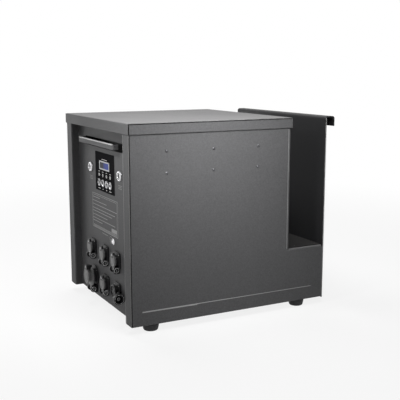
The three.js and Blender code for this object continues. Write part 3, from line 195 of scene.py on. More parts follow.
class FlameMachineSizes(bpy.types.PropertyGroup):
    """Sizes of the fine pieces that the CAD source leaves out."""

    sides: IntProperty(
        name="Sides", description="Sides round a turned piece", default=64, min=24, max=128)
    rivet_radius: length("Rivet radius", "Radius of a rivet head", 3.4)
    rivet_height: length("Rivet height", "How far a rivet head stands proud", 1.3)
    screw_radius: length("Screw radius", "Radius of a tray screw's head", 3.4)
    screw_height: length("Screw height", "Height of a tray screw's head", 2.2)
    edge_radius: length("Edge radius", "Rounding of folded edges", 2.0)


class FlameMachineStage(bpy.types.PropertyGroup):
    """Camera and light."""

    lens: FloatProperty(name="Lens", description="Focal length of the camera", default=68.0, min=20, max=200)
    azimuth: angle("Azimuth", "Turn of the view from straight at the near side", 27.549)
    elevation: angle("Elevation", "Rise of the view, below the horizon when negative", -9.959)
    roll: angle("Roll", "Roll of the camera", -0.043)
    room_light: FloatProperty(
        name="Room light", description="Strength of the light from all round", default=0.045, min=0, max=2)


# Meshes


def eased(profile, radius, steps=3):
    """The profile with its corners rounded."""
    points = [Vector(p) for p in profile]
    made = [points[0]]
    for before, corner, after in zip(points, points[1:], points[2:]):
        back, on = before - corner, after - corner
        cut = min(radius, back.length * CUT_SHARE, on.length * CUT_SHARE)
        if cut < LEAST_CUT or abs(back.angle(on, math.pi) - math.pi) < LEAST_TURN:
            made.append(corner)
            continue
        start, end = corner + back.normalized() * cut, corner + on.normalized() * cut
        for k in range(steps + 1):
            t = k / steps
            made.append(start * (1 - t) ** 2 + corner * (2 * t * (1 - t)) + end * t ** 2)
    made.append(points[-1])
    return [tuple(p) for p in made]


def turned(profile, place, way, sides=None, easing=0.4):
    """A turned body. The profile gives radius and height in mm, and the height runs along the way."""
    sides = sides or bpy.context.scene.flame_machine_sizes.sides
    centre = spot(*place)
    axis = Vector(way).normalized()
    across = axis.orthogonal().normalized()
    other = axis.cross(across)
    closed_ring = profile[0] == profile[-1]
    if easing:
        profile = eased(profile, easing)
    if closed_ring:
        profile = profile[:-1]
    angles = [2 * math.pi * i / sides for i in range(sides)]
    rays = [across * math.cos(a) + other * math.sin(a) for a in angles]
    bm = bmesh.new()
    rings = []
    for radius, height in profile:
        middle = centre + axis * (height * MM)
        if radius < SAME_PLACE:
            rings.append([bm.verts.new(middle)])
        else:
            rings.append([bm.verts.new(middle + ray * (radius * MM)) for ray in rays])
    pairs = list(zip(rings, rings[1:]))
    if closed_ring:
        pairs.append((rings[-1], rings[0]))
    for first, second in pairs:
        for i in range(sides):
            j = (i + 1) % sides
            if len(first) == 1 and len(second) == 1:
                break
            if len(first) == 1:
                bm.faces.new((first[0], second[j], second[i]))
            elif len(second) == 1:
                bm.faces.new((first[i], first[j], second[0]))
            else:
                bm.faces.new((first[i], first[j], second[j], second[i]))
    bmesh.ops.recalc_face_normals(bm, faces=bm.faces)
    return bm


def rod(radius, start, end, place, way, sides=None, easing=0):
    """A round bar between two heights."""
    return turned([(0, start), (radius, start), (radius, end), (0, end)], place, way, sides, easing)


def sleeve(inner, outer, start, end, place, way, sides=None, easing=0):
    """A plain ring between two heights."""
    profile = [(inner, start), (outer, start), (outer, end), (inner, end), (inner, start)]
    return turned(profile, place, way, sides, easing)


def rim(first, last, foot, shoulder, top, slope, place, way, sides, easing):
    """A ring whose two edges slope in above the shoulder."""
    profile = [(first, foot), (last, foot), (last, shoulder), (last - slope, top), (first + slope, top),
               (first, shoulder), (first, foot)]
    return turned(profile, place, way, sides, easing)


def ring(u, v, radius, sides=48, start=0.0):
    """A round outline in mm, or as many places round a circle."""
    angles = [2 * math.pi * i / sides + start for i in range(sides)]
    return [(u + radius * math.cos(a), v + radius * math.sin(a)) for a in angles]


def round_box(u0, v0, u1, v1, radius, steps=8):
    """A rectangle with round corners, in mm."""
    made = []
    for cu, cv, start in ((u1 - radius, v1 - radius, 0), (u0 + radius, v1 - radius, 1),
                          (u0 + radius, v0 + radius, 2), (u1 - radius, v0 + radius, 3)):
        for k in range(steps + 1):
            angle = QUARTER * (start + k / steps)
            made.append((cu + radius * math.cos(angle), cv + radius * math.sin(angle)))
    return made


def slab(axis, loops, low, high):
    """A plate along x, y or z between two places. The first loop is its outline, and the others are holes."""
    turn = {
        "x": lambda u, v, w: spot(w, u, v),
        "y": lambda u, v, w: spot(u, w, v),
        "z": lambda u, v, w: spot(u, v, w),
    }[axis]
    bm = bmesh.new()
    flat = [point for loop in loops for point in loop]
    under = [bm.verts.new(turn(u, v, low)) for u, v in flat]
    over = [bm.verts.new(turn(u, v, high)) for u, v in flat]
    for a, b, c in tessellate_polygon([[Vector((u, v, 0)) for u, v in loop] for loop in loops]):
        bm.faces.new((under[a], under[b], under[c]))
        bm.faces.new((over[c], over[b], over[a]))
    start = 0
    for loop in loops:
        count = len(loop)
        for i in range(count):
            a, b = start + i, start + (i + 1) % count
            bm.faces.new((under[a], under[b], over[b], over[a]))
        start += count
    bmesh.ops.recalc_face_normals(bm, faces=bm.faces)
    bmesh.ops.dissolve_limit(bm, angle_limit=0.001, verts=bm.verts, edges=bm.edges)
    return bm


def box(x0, y0, z0, x1, y1, z1):
    """A block between two corners in mm."""
    return slab("z", [[(x0, y0), (x1, y0), (x1, y1), (x0, y1)]], z0, z1)


def mark(face, y0, z0, y1, z1):
    """A printed block on a face that looks out to the left."""
    return box(face - PRINT, y0, z0, face + SINK, y1, z1)


def dashes(face, y, bars, thick):
    """Printed bars on a face that looks out to the left, each given by its height and half its length."""
    return [mark(face, y - half, z - thick, y + half, z + thick) for z, half in bars]


def printed_loops(outer, inner):
    """A printed outline on the recessed panel."""
    return slab("x", [outer, inner[::-1]], RECESS - PRINT, RECESS + SINK)


def four(x, y, z, across, up):
    """Four places at the corners of an upright rectangle."""
    return [(x, y + a * across, z + b * up) for a in (-1, 1) for b in (-1, 1)]


def mesh_of(name, bm):
    """A mesh from a body, which is used up."""
    mesh = bpy.data.meshes.new(name)
    bm.to_mesh(mesh)
    bm.free()
    return mesh


def merged(parts):
    """Several bodies as one."""
    whole = bmesh.new()
    for part in parts:
        mesh = mesh_of("part", part)
        whole.from_mesh(mesh)
        bpy.data.meshes.remove(mesh)
    return whole


def placed(name, data):
    """A new object in the scene."""
    made = bpy.data.objects.new(name, data)
    bpy.context.scene.collection.objects.link(made)
    return made


def evaluated(thing):
    """A plain mesh of an object as it shows."""
    bpy.context.view_layer.update()
    return bpy.data.meshes.new_from_object(thing.evaluated_get(bpy.context.evaluated_depsgraph_get()))


def settle(made):
    """Puts the result of the piece's modifiers into its own mesh."""
    mesh = evaluated(made)
    made.modifiers.clear()
    made.data = mesh


def smooth(mesh, sharp=SHARP_ANGLE):
    """Smooth shading, with sharp edges past an angle in degrees."""
    mesh.shade_smooth()
    mesh.set_sharp_from_angle(angle=math.radians(sharp))


def cover(mesh, material):
    """Gives a mesh one material."""
    mesh.materials.clear()
    mesh.materials.append(material)


def piece(name, parts, look, stands_for=(), body="case", bevel=0.0):
    """A finished piece at the origin, riding on its body. Its shape is one body or a list of them."""
    made = placed(name, mesh_of(name, merged(parts) if isinstance(parts, list) else parts))
    if bevel:
        edge = made.modifiers.new("rounded edges", "BEVEL")
        edge.width = bevel * MM
        edge.segments = 2
        edge.limit_method = "ANGLE"
        edge.angle_limit = math.radians(BEVEL_ANGLE)
        settle(made)
    smooth(made.data)
    lean = made.modifiers.new("flat faces stay flat", "WEIGHTED_NORMAL")
    lean.keep_sharp = True
    settle(made)
    cover(made.data, finish(look))
    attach(made, body)
    if stands_for:
        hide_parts(*stands_for)
    return made


def cut_with(made, tool):
    """Takes a tool's shape out of a piece."""
    cutter = placed("tool", mesh_of("tool", tool))
    material = made.data.materials[0]
    hole = made.modifiers.new("hole", "BOOLEAN")
    hole.operation = "DIFFERENCE"
    hole.solver = "EXACT"
    hole.object = cutter
    settle(made)
    cover(made.data, material)
    bpy.data.objects.remove(cutter)
    smooth(made.data)


def tube(points, radius):
    """A round wire through points in mm."""
    curve = bpy.data.curves.new("route", "CURVE")
    curve.dimensions = "3D"
    curve.bevel_depth = radius * MM
    curve.bevel_resolution = 4
    curve.use_fill_caps = True
    line = curve.splines.new("POLY")
    line.points.add(len(points) - 1)
    for spline_point, at in zip(line.points, points):
        spline_point.co = (*spot(*at), 1.0)
    holder = placed("route", curve)
    mesh = evaluated(holder)
    bm = bmesh.new()
    bm.from_mesh(mesh)
    bmesh.ops.remove_doubles(bm, verts=bm.verts, dist=SAME_PLACE)
    bmesh.ops.recalc_face_normals(bm, faces=bm.faces)
    bpy.data.meshes.remove(mesh)
    bpy.data.objects.remove(holder)
    bpy.data.curves.remove(curve)
    return bm


def rounded_hose(name):
    """A CAD hose made round by subdivision."""
    bm = bmesh.new()
    bm.from_mesh(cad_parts[name].data)
    bmesh.ops.remove_doubles(bm, verts=bm.verts, dist=SAME_PLACE)
    bmesh.ops.dissolve_limit(bm, angle_limit=0.01, verts=bm.verts, edges=bm.edges, delimit={"NORMAL"})
    made = piece(f"{name}_cover", bm, "hose_cover", [name])
    rounding = made.modifiers.new("rounding", "SUBSURF")
    rounding.levels = 2
    rounding.render_levels = 2
    settle(made)
    smooth(made.data, 60)


# Node trees


def feed(tree, socket, value):
    """Joins a socket to an output, or to a node's first output, or sets its plain value."""
    if isinstance(value, bpy.types.Node):
        value = value.outputs[0]
    if isinstance(value, bpy.types.NodeSocket):
        tree.links.new(value, socket)
    elif socket.type == "RGBA":
        socket.default_value = (*value, 1.0)
    else:
        socket.default_value = value


def fill(tree, made, values):
    """Feeds a node's inputs, named or numbered."""
    for label, value in values.items():
        feed(tree, made.inputs[label], value)


def node(tree, kind, values=None, **settings):
    """A new node with its settings and its inputs."""
    made = tree.nodes.new(kind)
    for name, value in settings.items():
        setattr(made, name, value)
    fill(tree, made, values or {})
    return made


def maths(tree, operation, *values, clamp=False):
    """A math node, fed by numbers or sockets. Gives its output."""
    made = node(tree, "ShaderNodeMath", dict(enumerate(values)), operation=operation, use_clamp=clamp)
    return made.outputs[0]


def new_group(name, kind, inputs, outputs):
    """A node group and its input node's outputs. An input holds its default, or its kind if it has none."""
    kinds = {float: "Float", int: "Int", tuple: "Vector"}
    group = bpy.data.node_groups.new(name, kind)
    for label, value in inputs.items():
        plain = not isinstance(value, str)
        socket_type = "NodeSocket" + (kinds[type(value)] if plain else value)
        socket = group.interface.new_socket(name=label, in_out="INPUT", socket_type=socket_type)
        if plain:
            socket.default_value = value
    for label, socket_kind in outputs.items():
        group.interface.new_socket(name=label, in_out="OUTPUT", socket_type="NodeSocket" + socket_kind)
    return group, group.nodes.new("NodeGroupInput").outputs


# Geometry nodes for what repeats


def on_points(tree, points, instance, rotation=None):
    """Copies of a shape on points."""
    made = node(tree, "GeometryNodeInstanceOnPoints", {"Points": points, "Instance": instance})
    if rotation:
        feed(tree, made.inputs["Rotation"], rotation)
    return made


def finished(tree, given, instances, label):
    """The end of a tree: real geometry, with its finish."""
    real = node(tree, "GeometryNodeRealizeInstances", {"Geometry": instances})
    covered = node(tree, "GeometryNodeSetMaterial", {"Geometry": real, "Material": given["Finish"]})
    node(tree, "NodeGroupOutput", {label: covered})
    return tree


def heads_tree():
    """Domed heads on points, turned to the way that each point holds, with a cross recess where asked."""
    inputs = {"Points": "Geometry", "Head radius": 3.5 * MM, "Head height": 2.0 * MM,
              "Recess width": 0.9 * MM, "Finish": "Material"}
    tree, given = new_group("fastener_heads", "GeometryNodeTree", inputs, {"Heads": "Geometry"})
    radius, height, width = given["Head radius"], given["Head height"], given["Recess width"]
    sphere = node(tree, "GeometryNodeMeshUVSphere", {"Segments": 24, "Rings": 12, "Radius": 1.0})
    size = node(tree, "ShaderNodeCombineXYZ", {"X": radius, "Y": radius, "Z": height})
    dome = node(tree, "GeometryNodeTransform", {"Geometry": sphere, "Scale": size})
    lift = node(tree, "ShaderNodeCombineXYZ", {"Z": height})
    bars = []
    for along, across in ("XY", "YX"):
        extent = node(tree, "ShaderNodeCombineXYZ", {along: radius, across: width, "Z": height})
        bar = node(tree, "GeometryNodeMeshCube", {"Size": extent})
        bars.append(node(tree, "GeometryNodeTransform", {"Geometry": bar, "Translation": lift}))
    recess = node(tree, "GeometryNodeMeshBoolean", {"Mesh 1": dome}, operation="DIFFERENCE")
    for bar in bars:
        feed(tree, recess.inputs["Mesh 2"], bar)
    crossed = node(tree, "FunctionNodeCompare", {0: width}, operation="GREATER_THAN")
    choice = node(tree, "GeometryNodeSwitch", {"Switch": crossed, "False": dome, "True": recess})
    way = node(tree, "GeometryNodeInputNamedAttribute", {"Name": "way"}, data_type="FLOAT_VECTOR")
    align = node(tree, "FunctionNodeAlignRotationToVector", {"Vector": way}, axis="Z")
    return finished(tree, given, on_points(tree, given["Points"], choice, align), "Heads")


def ribs_tree():
    """Upright ribs round a circle."""
    inputs = {"Centre": "Geometry", "Count": 36, "Radius": 30 * MM, "Rib size": (2 * MM, 2 * MM, 10 * MM),
              "Finish": "Material"}
    tree, given = new_group("rib_ring", "GeometryNodeTree", inputs, {"Ribs": "Geometry"})
    circle = node(tree, "GeometryNodeMeshCircle", {"Vertices": given["Count"], "Radius": given["Radius"]})
    rib = node(tree, "GeometryNodeMeshCube", {"Size": given["Rib size"]})
    where = node(tree, "GeometryNodeInputPosition")
    align = node(tree, "FunctionNodeAlignRotationToVector", {"Vector": where}, axis="X", pivot_axis="Z")
    circled = on_points(tree, circle, rib, align)
    return finished(tree, given, on_points(tree, given["Centre"], circled), "Ribs")


def rows_tree():
    """Small blocks in rows and columns, as the small parts of a board stand."""
    inputs = {"Centre": "Geometry", "Columns": 8, "Rows": 4, "Long": 60 * MM, "Wide": 30 * MM,
              "Block size": (2 * MM, 2 * MM, 1 * MM), "Turn": (0.0, 0.0, 0.0), "Finish": "Material"}
    tree, given = new_group("block_rows", "GeometryNodeTree", inputs, {"Blocks": "Geometry"})
    grid = node(tree, "GeometryNodeMeshGrid", {"Size X": given["Long"], "Size Y": given["Wide"],
                                               "Vertices X": given["Columns"], "Vertices Y": given["Rows"]})
    block = node(tree, "GeometryNodeMeshCube", {"Size": given["Block size"]})
    turn = node(tree, "FunctionNodeEulerToRotation", {"Euler": given["Turn"]})
    rows = on_points(tree, grid, block)
    return finished(tree, given, on_points(tree, given["Centre"], rows, turn), "Blocks")


def grown(name, mesh, tree, values, look, body):
    """A piece grown by a node tree from a mesh, made a plain mesh."""
    seed = placed(name, mesh)
    grower = seed.modifiers.new("grown", "NODES")
    grower.node_group = group_named(tree)
    values = {**values, "Finish": finish(look)}
    for socket in grower.node_group.interface.items_tree:
        if socket.item_type == "SOCKET" and socket.in_out == "INPUT" and socket.name in values:
            grower[socket.identifier] = values[socket.name]
    settle(seed)
    smooth(seed.data)
    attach(seed, body)


def heads(name, places, radius, height, recess, look="zinc_steel", body="case"):
    """Fastener heads, sized in mm. The places are given for each way that heads face."""
    mesh = bpy.data.meshes.new(name)
    mesh.from_pydata([spot(*point) for points in places.values() for point in points], [], [])
    held = mesh.attributes.new("way", "FLOAT_VECTOR", "POINT")
    ways = [way for way, points in places.items() for _ in points]
    for value, way in zip(held.data, ways):
        value.vector = way
    values = {"Head radius": radius * MM, "Head height": height * MM, "Recess width": recess * MM}
    grown(name, mesh, "fastener_heads", values, look, body)


def repeated(name, tree, centre, values, look, body="case"):
    """A pattern grown by a tree round one point."""
    mesh = bpy.data.meshes.new(name)
    mesh.from_pydata([spot(*centre)], [], [])
    grown(name, mesh, tree, values, look, body)


# Shader groups


def object_place(tree):
    """The place on the object, for textures."""
    return node(tree, "ShaderNodeTexCoord").outputs["Object"]


def noise(tree, where, scale, detail, roughness=0.5):
    """The value of a noise texture."""
    values = {"Vector": where, "Scale": scale, "Detail": detail, "Roughness": roughness}
    return node(tree, "ShaderNodeTexNoise", values).outputs["Fac"]


def grain_group():
    """Fine leather-like grain of a powder coat, with a mottle and a slow drift in shade."""
    group, given = new_group("coat_grain", "ShaderNodeTree", {"Grain": 900.0, "Drift": 0.1},
                             {"Height": "Float", "Shade": "Float", "Gloss": "Float"})
    where = object_place(group)

    def share(value, part):
        return maths(group, "MULTIPLY", value, part)

    def drifting(value):
        return share(maths(group, "SUBTRACT", value, 0.5), given["Drift"])

    fine = noise(group, where, given["Grain"], detail=2.0, roughness=0.6)
    cells = node(group, "ShaderNodeTexVoronoi", {"Vector": where, "Scale": share(given["Grain"], 0.55)},
                 feature="SMOOTH_F1")
    swing = drifting(noise(group, where, scale=5.0, detail=3.0))
    blot = drifting(noise(group, where, share(given["Grain"], 0.45), detail=2.0))
    speck = drifting(fine)
    spots = maths(group, "ADD", speck, share(blot, 5.0))
    node(group, "NodeGroupOutput", {
        "Height": maths(group, "ADD", fine, share(cells.outputs["Distance"], 0.7)),
        "Shade": maths(group, "ADD", maths(group, "ADD", swing, spots), 1.0),
        "Gloss": maths(group, "ADD", swing, speck),
    })
    return group


def edge_group():
    """Rounded edges for the light to catch, and a patchy mask along them where the colour turns lighter,
    partly as wear and partly as a painted highlight on the folds.
    """
    group, given = new_group("edge_wear", "ShaderNodeTree", {"Radius": 0.9 * MM, "Rub": 0.3},
                             {"Normal": "Vector", "Worn": "Float"})
    bevel = node(group, "ShaderNodeBevel", {"Radius": given["Radius"]}, samples=6)
    flat = node(group, "ShaderNodeNewGeometry").outputs["Normal"]
    facing = node(group, "ShaderNodeVectorMath", {0: bevel, 1: flat}, operation="DOT_PRODUCT")
    patch = noise(group, object_place(group), scale=60.0, detail=4.0)
    turn = maths(group, "SUBTRACT", 1.0, facing.outputs["Value"])
    edge = maths(group, "MULTIPLY", turn, 6.0, clamp=True)
    rubbed_and_lit = maths(group, "MULTIPLY", edge, maths(group, "POWER", patch, 2.0))
    worn = maths(group, "MULTIPLY", rubbed_and_lit, given["Rub"], clamp=True)
    node(group, "NodeGroupOutput", {"Normal": bevel, "Worn": worn})
    return group


def dust_group():
    """Thin dust on faces that look up, in soft patches."""
    group, given = new_group("settled_dust", "ShaderNodeTree", {"Amount": 0.1}, {"Dust": "Float"})
    flat = node(group, "ShaderNodeNewGeometry").outputs["Normal"]
    split = node(group, "ShaderNodeSeparateXYZ", {"Vector": flat})
    patch = noise(group, object_place(group), scale=14.0, detail=6.0)
    upward = maths(group, "POWER", maths(group, "MAXIMUM", split.outputs["Z"], 0.0), 4.0)
    amount = maths(group, "MULTIPLY", maths(group, "MULTIPLY", upward, patch), given["Amount"])
    node(group, "NodeGroupOutput", {"Dust": amount})
    return group


def brushed_group():
    """Lines of a machined or brushed metal along one axis, and their sheen."""
    group, given = new_group("brushed_lines", "ShaderNodeTree", {"Along": (1.0, 60.0, 60.0), "Scale": 40.0},
                             {"Height": "Float", "Sheen": "Float"})
    stretch = node(group, "ShaderNodeVectorMath", {0: object_place(group), 1: given["Along"]},
                   operation="MULTIPLY")
    lines = noise(group, stretch, given["Scale"], detail=3.0)
    sheen = maths(group, "MULTIPLY", maths(group, "SUBTRACT", lines, 0.5), 0.35)
    node(group, "NodeGroupOutput", {"Height": lines, "Sheen": sheen})
    return group


GROUPS = {"fastener_heads": heads_tree, "rib_ring": ribs_tree, "block_rows": rows_tree,
          "coat_grain": grain_group, "edge_wear": edge_group, "settled_dust": dust_group,
          "brushed_lines": brushed_group}


def group_named(name):
    """The node group of that name, made when it is first asked for."""
    return bpy.data.node_groups.get(name) or GROUPS[name]()


def placed_group(tree, name, **values):
    """The outputs of a shader group placed in a material with its own values."""
    made = tree.nodes.new("ShaderNodeGroup")
    made.node_tree = group_named(name)
    fill(tree, made, values)
    return made.outputs


# Finishes


def grey(level):
    """A grey colour."""
    return (level, level, level)


def started(name, color, roughness, metallic=0.0, shine=0.5):
    """A material with its Principled shader set plainly. Gives the material, its tree and the shader."""
    material = bpy.data.materials.new(name)
    material.use_nodes = True
    material.diffuse_color = (*color, 1.0)
    tree = material.node_tree
    shader = tree.nodes["Principled BSDF"]
    fill(tree, shader, {"Base Color": color, "Roughness": roughness, "Metallic": metallic,
                        "Specular IOR Level": shine})
    return material, tree, shader


# Where a mix node keeps its factor, its two colours and the colour that it gives
MIX_FACTOR, MIX_FIRST, MIX_SECOND, MIX_RESULT = 0, 6, 7, 2


def mixed(tree, factor, first, second):
    """A colour mix. Colours are sockets or tuples."""
    values = {MIX_FACTOR: factor, MIX_FIRST: first, MIX_SECOND: second}
    return node(tree, "ShaderNodeMix", values, data_type="RGBA").outputs[MIX_RESULT]


def scaled(tree, color, factor):
    """A colour times a value that changes over the surface."""
    return node(tree, "ShaderNodeVectorMath", {0: color, "Scale": factor}, operation="SCALE").outputs[0]


def bumped(tree, shader, height, strength, distance, normal):
    """A bump of a height onto the shader, over rounded edges."""
    values = {"Strength": strength, "Distance": distance, "Height": height, "Normal": normal}
    feed(tree, shader.inputs["Normal"], node(tree, "ShaderNodeBump", values))


def skin(name, color, roughness, shine, grain, depth, bump, drift, radius, rub, worn, dust, dusty):
    """A coat or a moulding: its grain, its edges turned lighter in patches, partly as wear and partly as a
    painted highlight, and its dust.
    """
    material, tree, shader = started(name, color, roughness, shine=shine)
    texture = placed_group(tree, "coat_grain", Grain=grain, Drift=drift)
    edge = placed_group(tree, "edge_wear", Radius=radius, Rub=rub)
    settled = placed_group(tree, "settled_dust", Amount=dust)
    rubbed_and_lit = mixed(tree, edge["Worn"], scaled(tree, color, texture["Shade"]), worn)
    fill(tree, shader, {"Base Color": mixed(tree, settled["Dust"], rubbed_and_lit, dusty),
                        "Roughness": maths(tree, "ADD", texture["Gloss"], roughness)})
    bumped(tree, shader, texture["Height"], depth, bump * MM, edge["Normal"])
    return material


# What coats and mouldings have where a finish doesn't say otherwise. The bump's height is in mm. The lighter
# edge colour and its rub amount stand partly for wear and partly for a painted highlight along the folds.
COAT = {"shine": 0.5, "grain": 900.0, "depth": 0.35, "bump": 0.12, "drift": 0.12, "rub": 1.0,
        "worn": grey(0.3), "dust": 0.08, "dusty": (0.42, 0.40, 0.37)}
MOULDING = {"shine": 0.5, "grain": 1400.0, "depth": 0.2, "bump": 0.06, "drift": 0.15, "rub": 0.12,
            "radius": 0.4 * MM, "dust": 0.06, "dusty": (0.4, 0.39, 0.37)}


def coat(name, color, roughness, **changes):
    """Powder coat on folded sheet, lighter along the folds, partly as wear and partly as a painted highlight.
    """
    radius = bpy.context.scene.flame_machine_sizes.edge_radius
    return skin(name, color, roughness, radius=radius, **{**COAT, **changes})


def moulded(name, color, roughness, **changes):
    """Rubber or moulded plastic with a fine spark texture."""
    worn = tuple(min(1.0, c * 2.5 + 0.05) for c in color)
    return skin(name, color, roughness, worn=worn, **{**MOULDING, **changes})


def metal(name, color, roughness, along=(1.0, 60.0, 60.0), scale=40.0, depth=0.1):
    """Bare metal with machining lines."""
    material, tree, shader = started(name, color, roughness, 1.0)
    lines = placed_group(tree, "brushed_lines", Along=along, Scale=scale)
    edge = placed_group(tree, "edge_wear", Radius=0.3 * MM, Rub=0.0)
    tone = maths(tree, "ADD", maths(tree, "MULTIPLY", lines["Sheen"], 0.5), 1.0)
    fill(tree, shader, {"Base Color": scaled(tree, color, tone),
                        "Roughness": maths(tree, "ADD", lines["Sheen"], roughness, clamp=True)})
    bumped(tree, shader, lines["Height"], depth, 0.03 * MM, edge["Normal"])
    return material


def lit_screen(name, color, roughness):
    """Blue lit display behind clear plastic, darker to one end, as such a display looks from the side."""
    made, tree, shader = started(name, color, roughness, shine=0.05)
    where = object_place(tree)
    split = node(tree, "ShaderNodeSeparateXYZ", {"Vector": where})
    middle = spot(0, PANEL_MID, 0).y
    fade = node(tree, "ShaderNodeMapRange", {
        "From Min": middle + 10 * MM, "From Max": middle - 8 * MM, "Value": split.outputs["Y"]})
    cells = node(tree, "ShaderNodeTexChecker", {"Scale": 1400.0, "Vector": where})
    dots = mixed(tree, maths(tree, "MULTIPLY", cells.outputs["Fac"], 0.15), color, (0.01, 0.02, 0.2))
    lit = mixed(tree, fade.outputs["Result"], (0.006, 0.008, 0.02), dots)
    fill(tree, shader, {"Base Color": lit, "Emission Color": lit, "Emission Strength": 0.12})
    return made


POLISHED = {"scale": 20.0, "depth": 0.02}

# How each finish is made: its kind, its colour or the setting that holds it, its roughness and details
RECIPES = {
    "case_coat": (coat, "case_paint", 0.62, {"shine": 0.16}),
    "chamber_coat": (coat, "chamber_paint", 0.55, {"rub": 0.15, "worn": grey(0.12), "shine": 0.16}),
    "tray_coat": (coat, grey(0.009), 0.75, {"rub": 0.1, "worn": grey(0.1), "dust": 0.02, "shine": 0.1}),
    # Lighter than the case, painted on the grip's bead as its highlight
    "bead_coat": (coat, grey(0.42), 0.4, {"drift": 0.05, "shine": 0.6}),
    # Light grey, painted along folds and sheet edges as their highlights
    "fold_line": (coat, grey(0.30), 0.5, {"drift": 0.05, "shine": 0.3}),
    "motor_enamel": (coat, (0.018, 0.018, 0.02), 0.4, {"rub": 0.15}),
    "moulded_rubber": (moulded, "rubber", 0.75, {}),
    "flap_moulding": (moulded, "flap", 0.5, {}),
    # Light grey, painted on the lug rims, latch eyes and cap rims as their highlights
    "worn_moulding": (moulded, grey(0.62), 0.5, {}),
    "black_moulding": (moulded, "moulding", 0.42, {"shine": 0.25}),
    "black_film": (moulded, "film", 0.9, {"grain": 2600.0, "drift": 0.05, "shine": 0.02}),
    # Near black: painted shade at the joints and in the rings on the keys and buttons, and the dark dots and
    # signs on the buttons
    "seam_gap": (moulded, grey(0.012), 0.8, {"shine": 0.1}),
    "silver_moulding": (moulded, (0.30, 0.31, 0.33), 0.45, {"depth": 0.1, "drift": 0.04}),
    "faint_print": (moulded, grey(0.20), 0.6, {"depth": 0.05, "shine": 0.2}),
    "white_print": (moulded, (0.75, 0.75, 0.74), 0.5, {"depth": 0.05, "drift": 0.05}),
    "grey_print": (moulded, grey(0.34), 0.6, {"depth": 0.05, "drift": 0.05, "shine": 0.25}),
    "glazed_ceramic": (moulded, (0.80, 0.78, 0.72), 0.16, {"depth": 0.03, "drift": 0.04}),
    "natural_plastic": (moulded, "tank", 0.42, {"grain": 500.0, "depth": 0.12, "drift": 0.06}),
    "hose_cover": (moulded, (0.018, 0.019, 0.021), 0.45, {}),
    "solder_resist": (moulded, (0.012, 0.10, 0.05), 0.3, {"grain": 600.0, "depth": 0.05, "drift": 0.25}),
    "relay_blue": (moulded, (0.03, 0.10, 0.36), 0.35, {}),
    "terminal_green": (moulded, (0.03, 0.22, 0.09), 0.45, {}),
    "chrome": (metal, (0.72, 0.72, 0.73), 0.2, POLISHED),
    "key_metal": (metal, (0.58, 0.58, 0.59), 0.26, POLISHED),
    "button_metal": (metal, (0.52, 0.52, 0.53), 0.30, POLISHED),
    "bright_screw": (metal, grey(0.80), 0.45, {"scale": 20.0, "depth": 0.05}),
    "satin_steel": (metal, (0.30, 0.305, 0.31), 0.36, {}),
    "zinc_steel": (metal, (0.46, 0.46, 0.45), 0.4, {"along": (40.0, 40.0, 1.0)}),
    "dark_steel": (metal, (0.10, 0.10, 0.105), 0.38, {}),
    "machined_aluminium": (metal, (0.26, 0.265, 0.27), 0.46, {"along": (60.0, 1.0, 60.0)}),
    "cast_aluminium": (metal, (0.17, 0.172, 0.175), 0.55, {"scale": 60.0, "depth": 0.12}),
    "galvanised_steel": (metal, (0.20, 0.205, 0.21), 0.5, {"scale": 25.0, "depth": 0.06}),
    "turned_brass": (metal, (0.66, 0.46, 0.18), 0.26, {"along": (1.0, 1.0, 90.0)}),
    "lit_screen": (lit_screen, "screen", 0.5, {}),
}


def finish(name):
    """The finish of that name, made when it is first asked for."""
    if name in bpy.data.materials:
        return bpy.data.materials[name]
    kind, color, roughness, details = RECIPES[name]
    if isinstance(color, str):
        color = tuple(getattr(bpy.context.scene.flame_machine_finish, color))
    return kind(name, color, roughness, **details)


def dress(looks):
    """Gives CAD nodes their finishes."""
    for name, nodes in looks.items():
        for shown in nodes:
            cover(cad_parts[shown].data, finish(name))


# Pieces


class FLAME_OT_case(bpy.types.Operator):
    """Finish the folded case, lid, heat shield and tray, and build the grip"""

    bl_idname = "flame_machine.case"
    bl_label = "Case"

    def execute(self, context):
        dress({
            "case_coat": ["near_side_panel", "far_side_panel", "control_panel", "bulkhead", "lid"],
            "chamber_coat": ["heat_shield", "handle_pocket"],
            "tray_coat": ["chamber_tray", "base_pan"],
            "dark_steel": ["lid_hinge"],
        })
        self.grip()
        return {"FINISHED"}

    def grip(self):
        """The strip grip: a bent bar with a rolled bead along its upper edge. The bead is coated lighter as a
        painted highlight, and the legs take the near-black tray coat as painted shade.
        """
        near, far = MID_Y - GRIP["half"], MID_Y + GRIP["half"]
        back, front, sheet = GRIP["back"], GRIP["front"], GRIP["sheet"]
        low, high, toe, bend = GRIP["low"], GRIP["high"], GRIP["toe"], GRIP["bend"]
        turn, inside, corner = front + GRIP["turn"], front + sheet, front + bend
        outer = [(turn, near), (corner, near)]
        outer += [(corner - bend * math.sin(a), near + bend - bend * math.cos(a)) for a in ARC]
        outer += [(corner - bend * math.cos(a), far - bend + bend * math.sin(a)) for a in ARC]
        outer += [(turn, far), (turn, far - sheet), (inside, far - sheet), (inside, near + sheet),
                  (turn, near + sheet)]
        legs = []
        for end, side in ((near, -1), (far, 1)):
            inner, outside, heel = end - side * sheet, end + side * toe, back - sheet
            leg = [(turn, inner), (turn, end), (heel, end), (heel, outside), (back, outside), (back, inner)]
            legs.append(slab("z", [leg], low, high))
        bead = rod(1.7, 0, 2 * GRIP["half"] - 8, (front + 0.8, near + 4, high - 0.4), FAR, 24, 0.6)
        bar = slab("z", [outer], low, high)
        piece("grip_bar", bar, "case_coat", ["handle_grip"], bevel=0.5)
        # The legs are coated near black as painted shade
        piece("grip_legs", legs, "tray_coat", bevel=0.3)
        # The bead's lighter coat is a painted highlight
        piece("grip_bead", bead, "bead_coat")


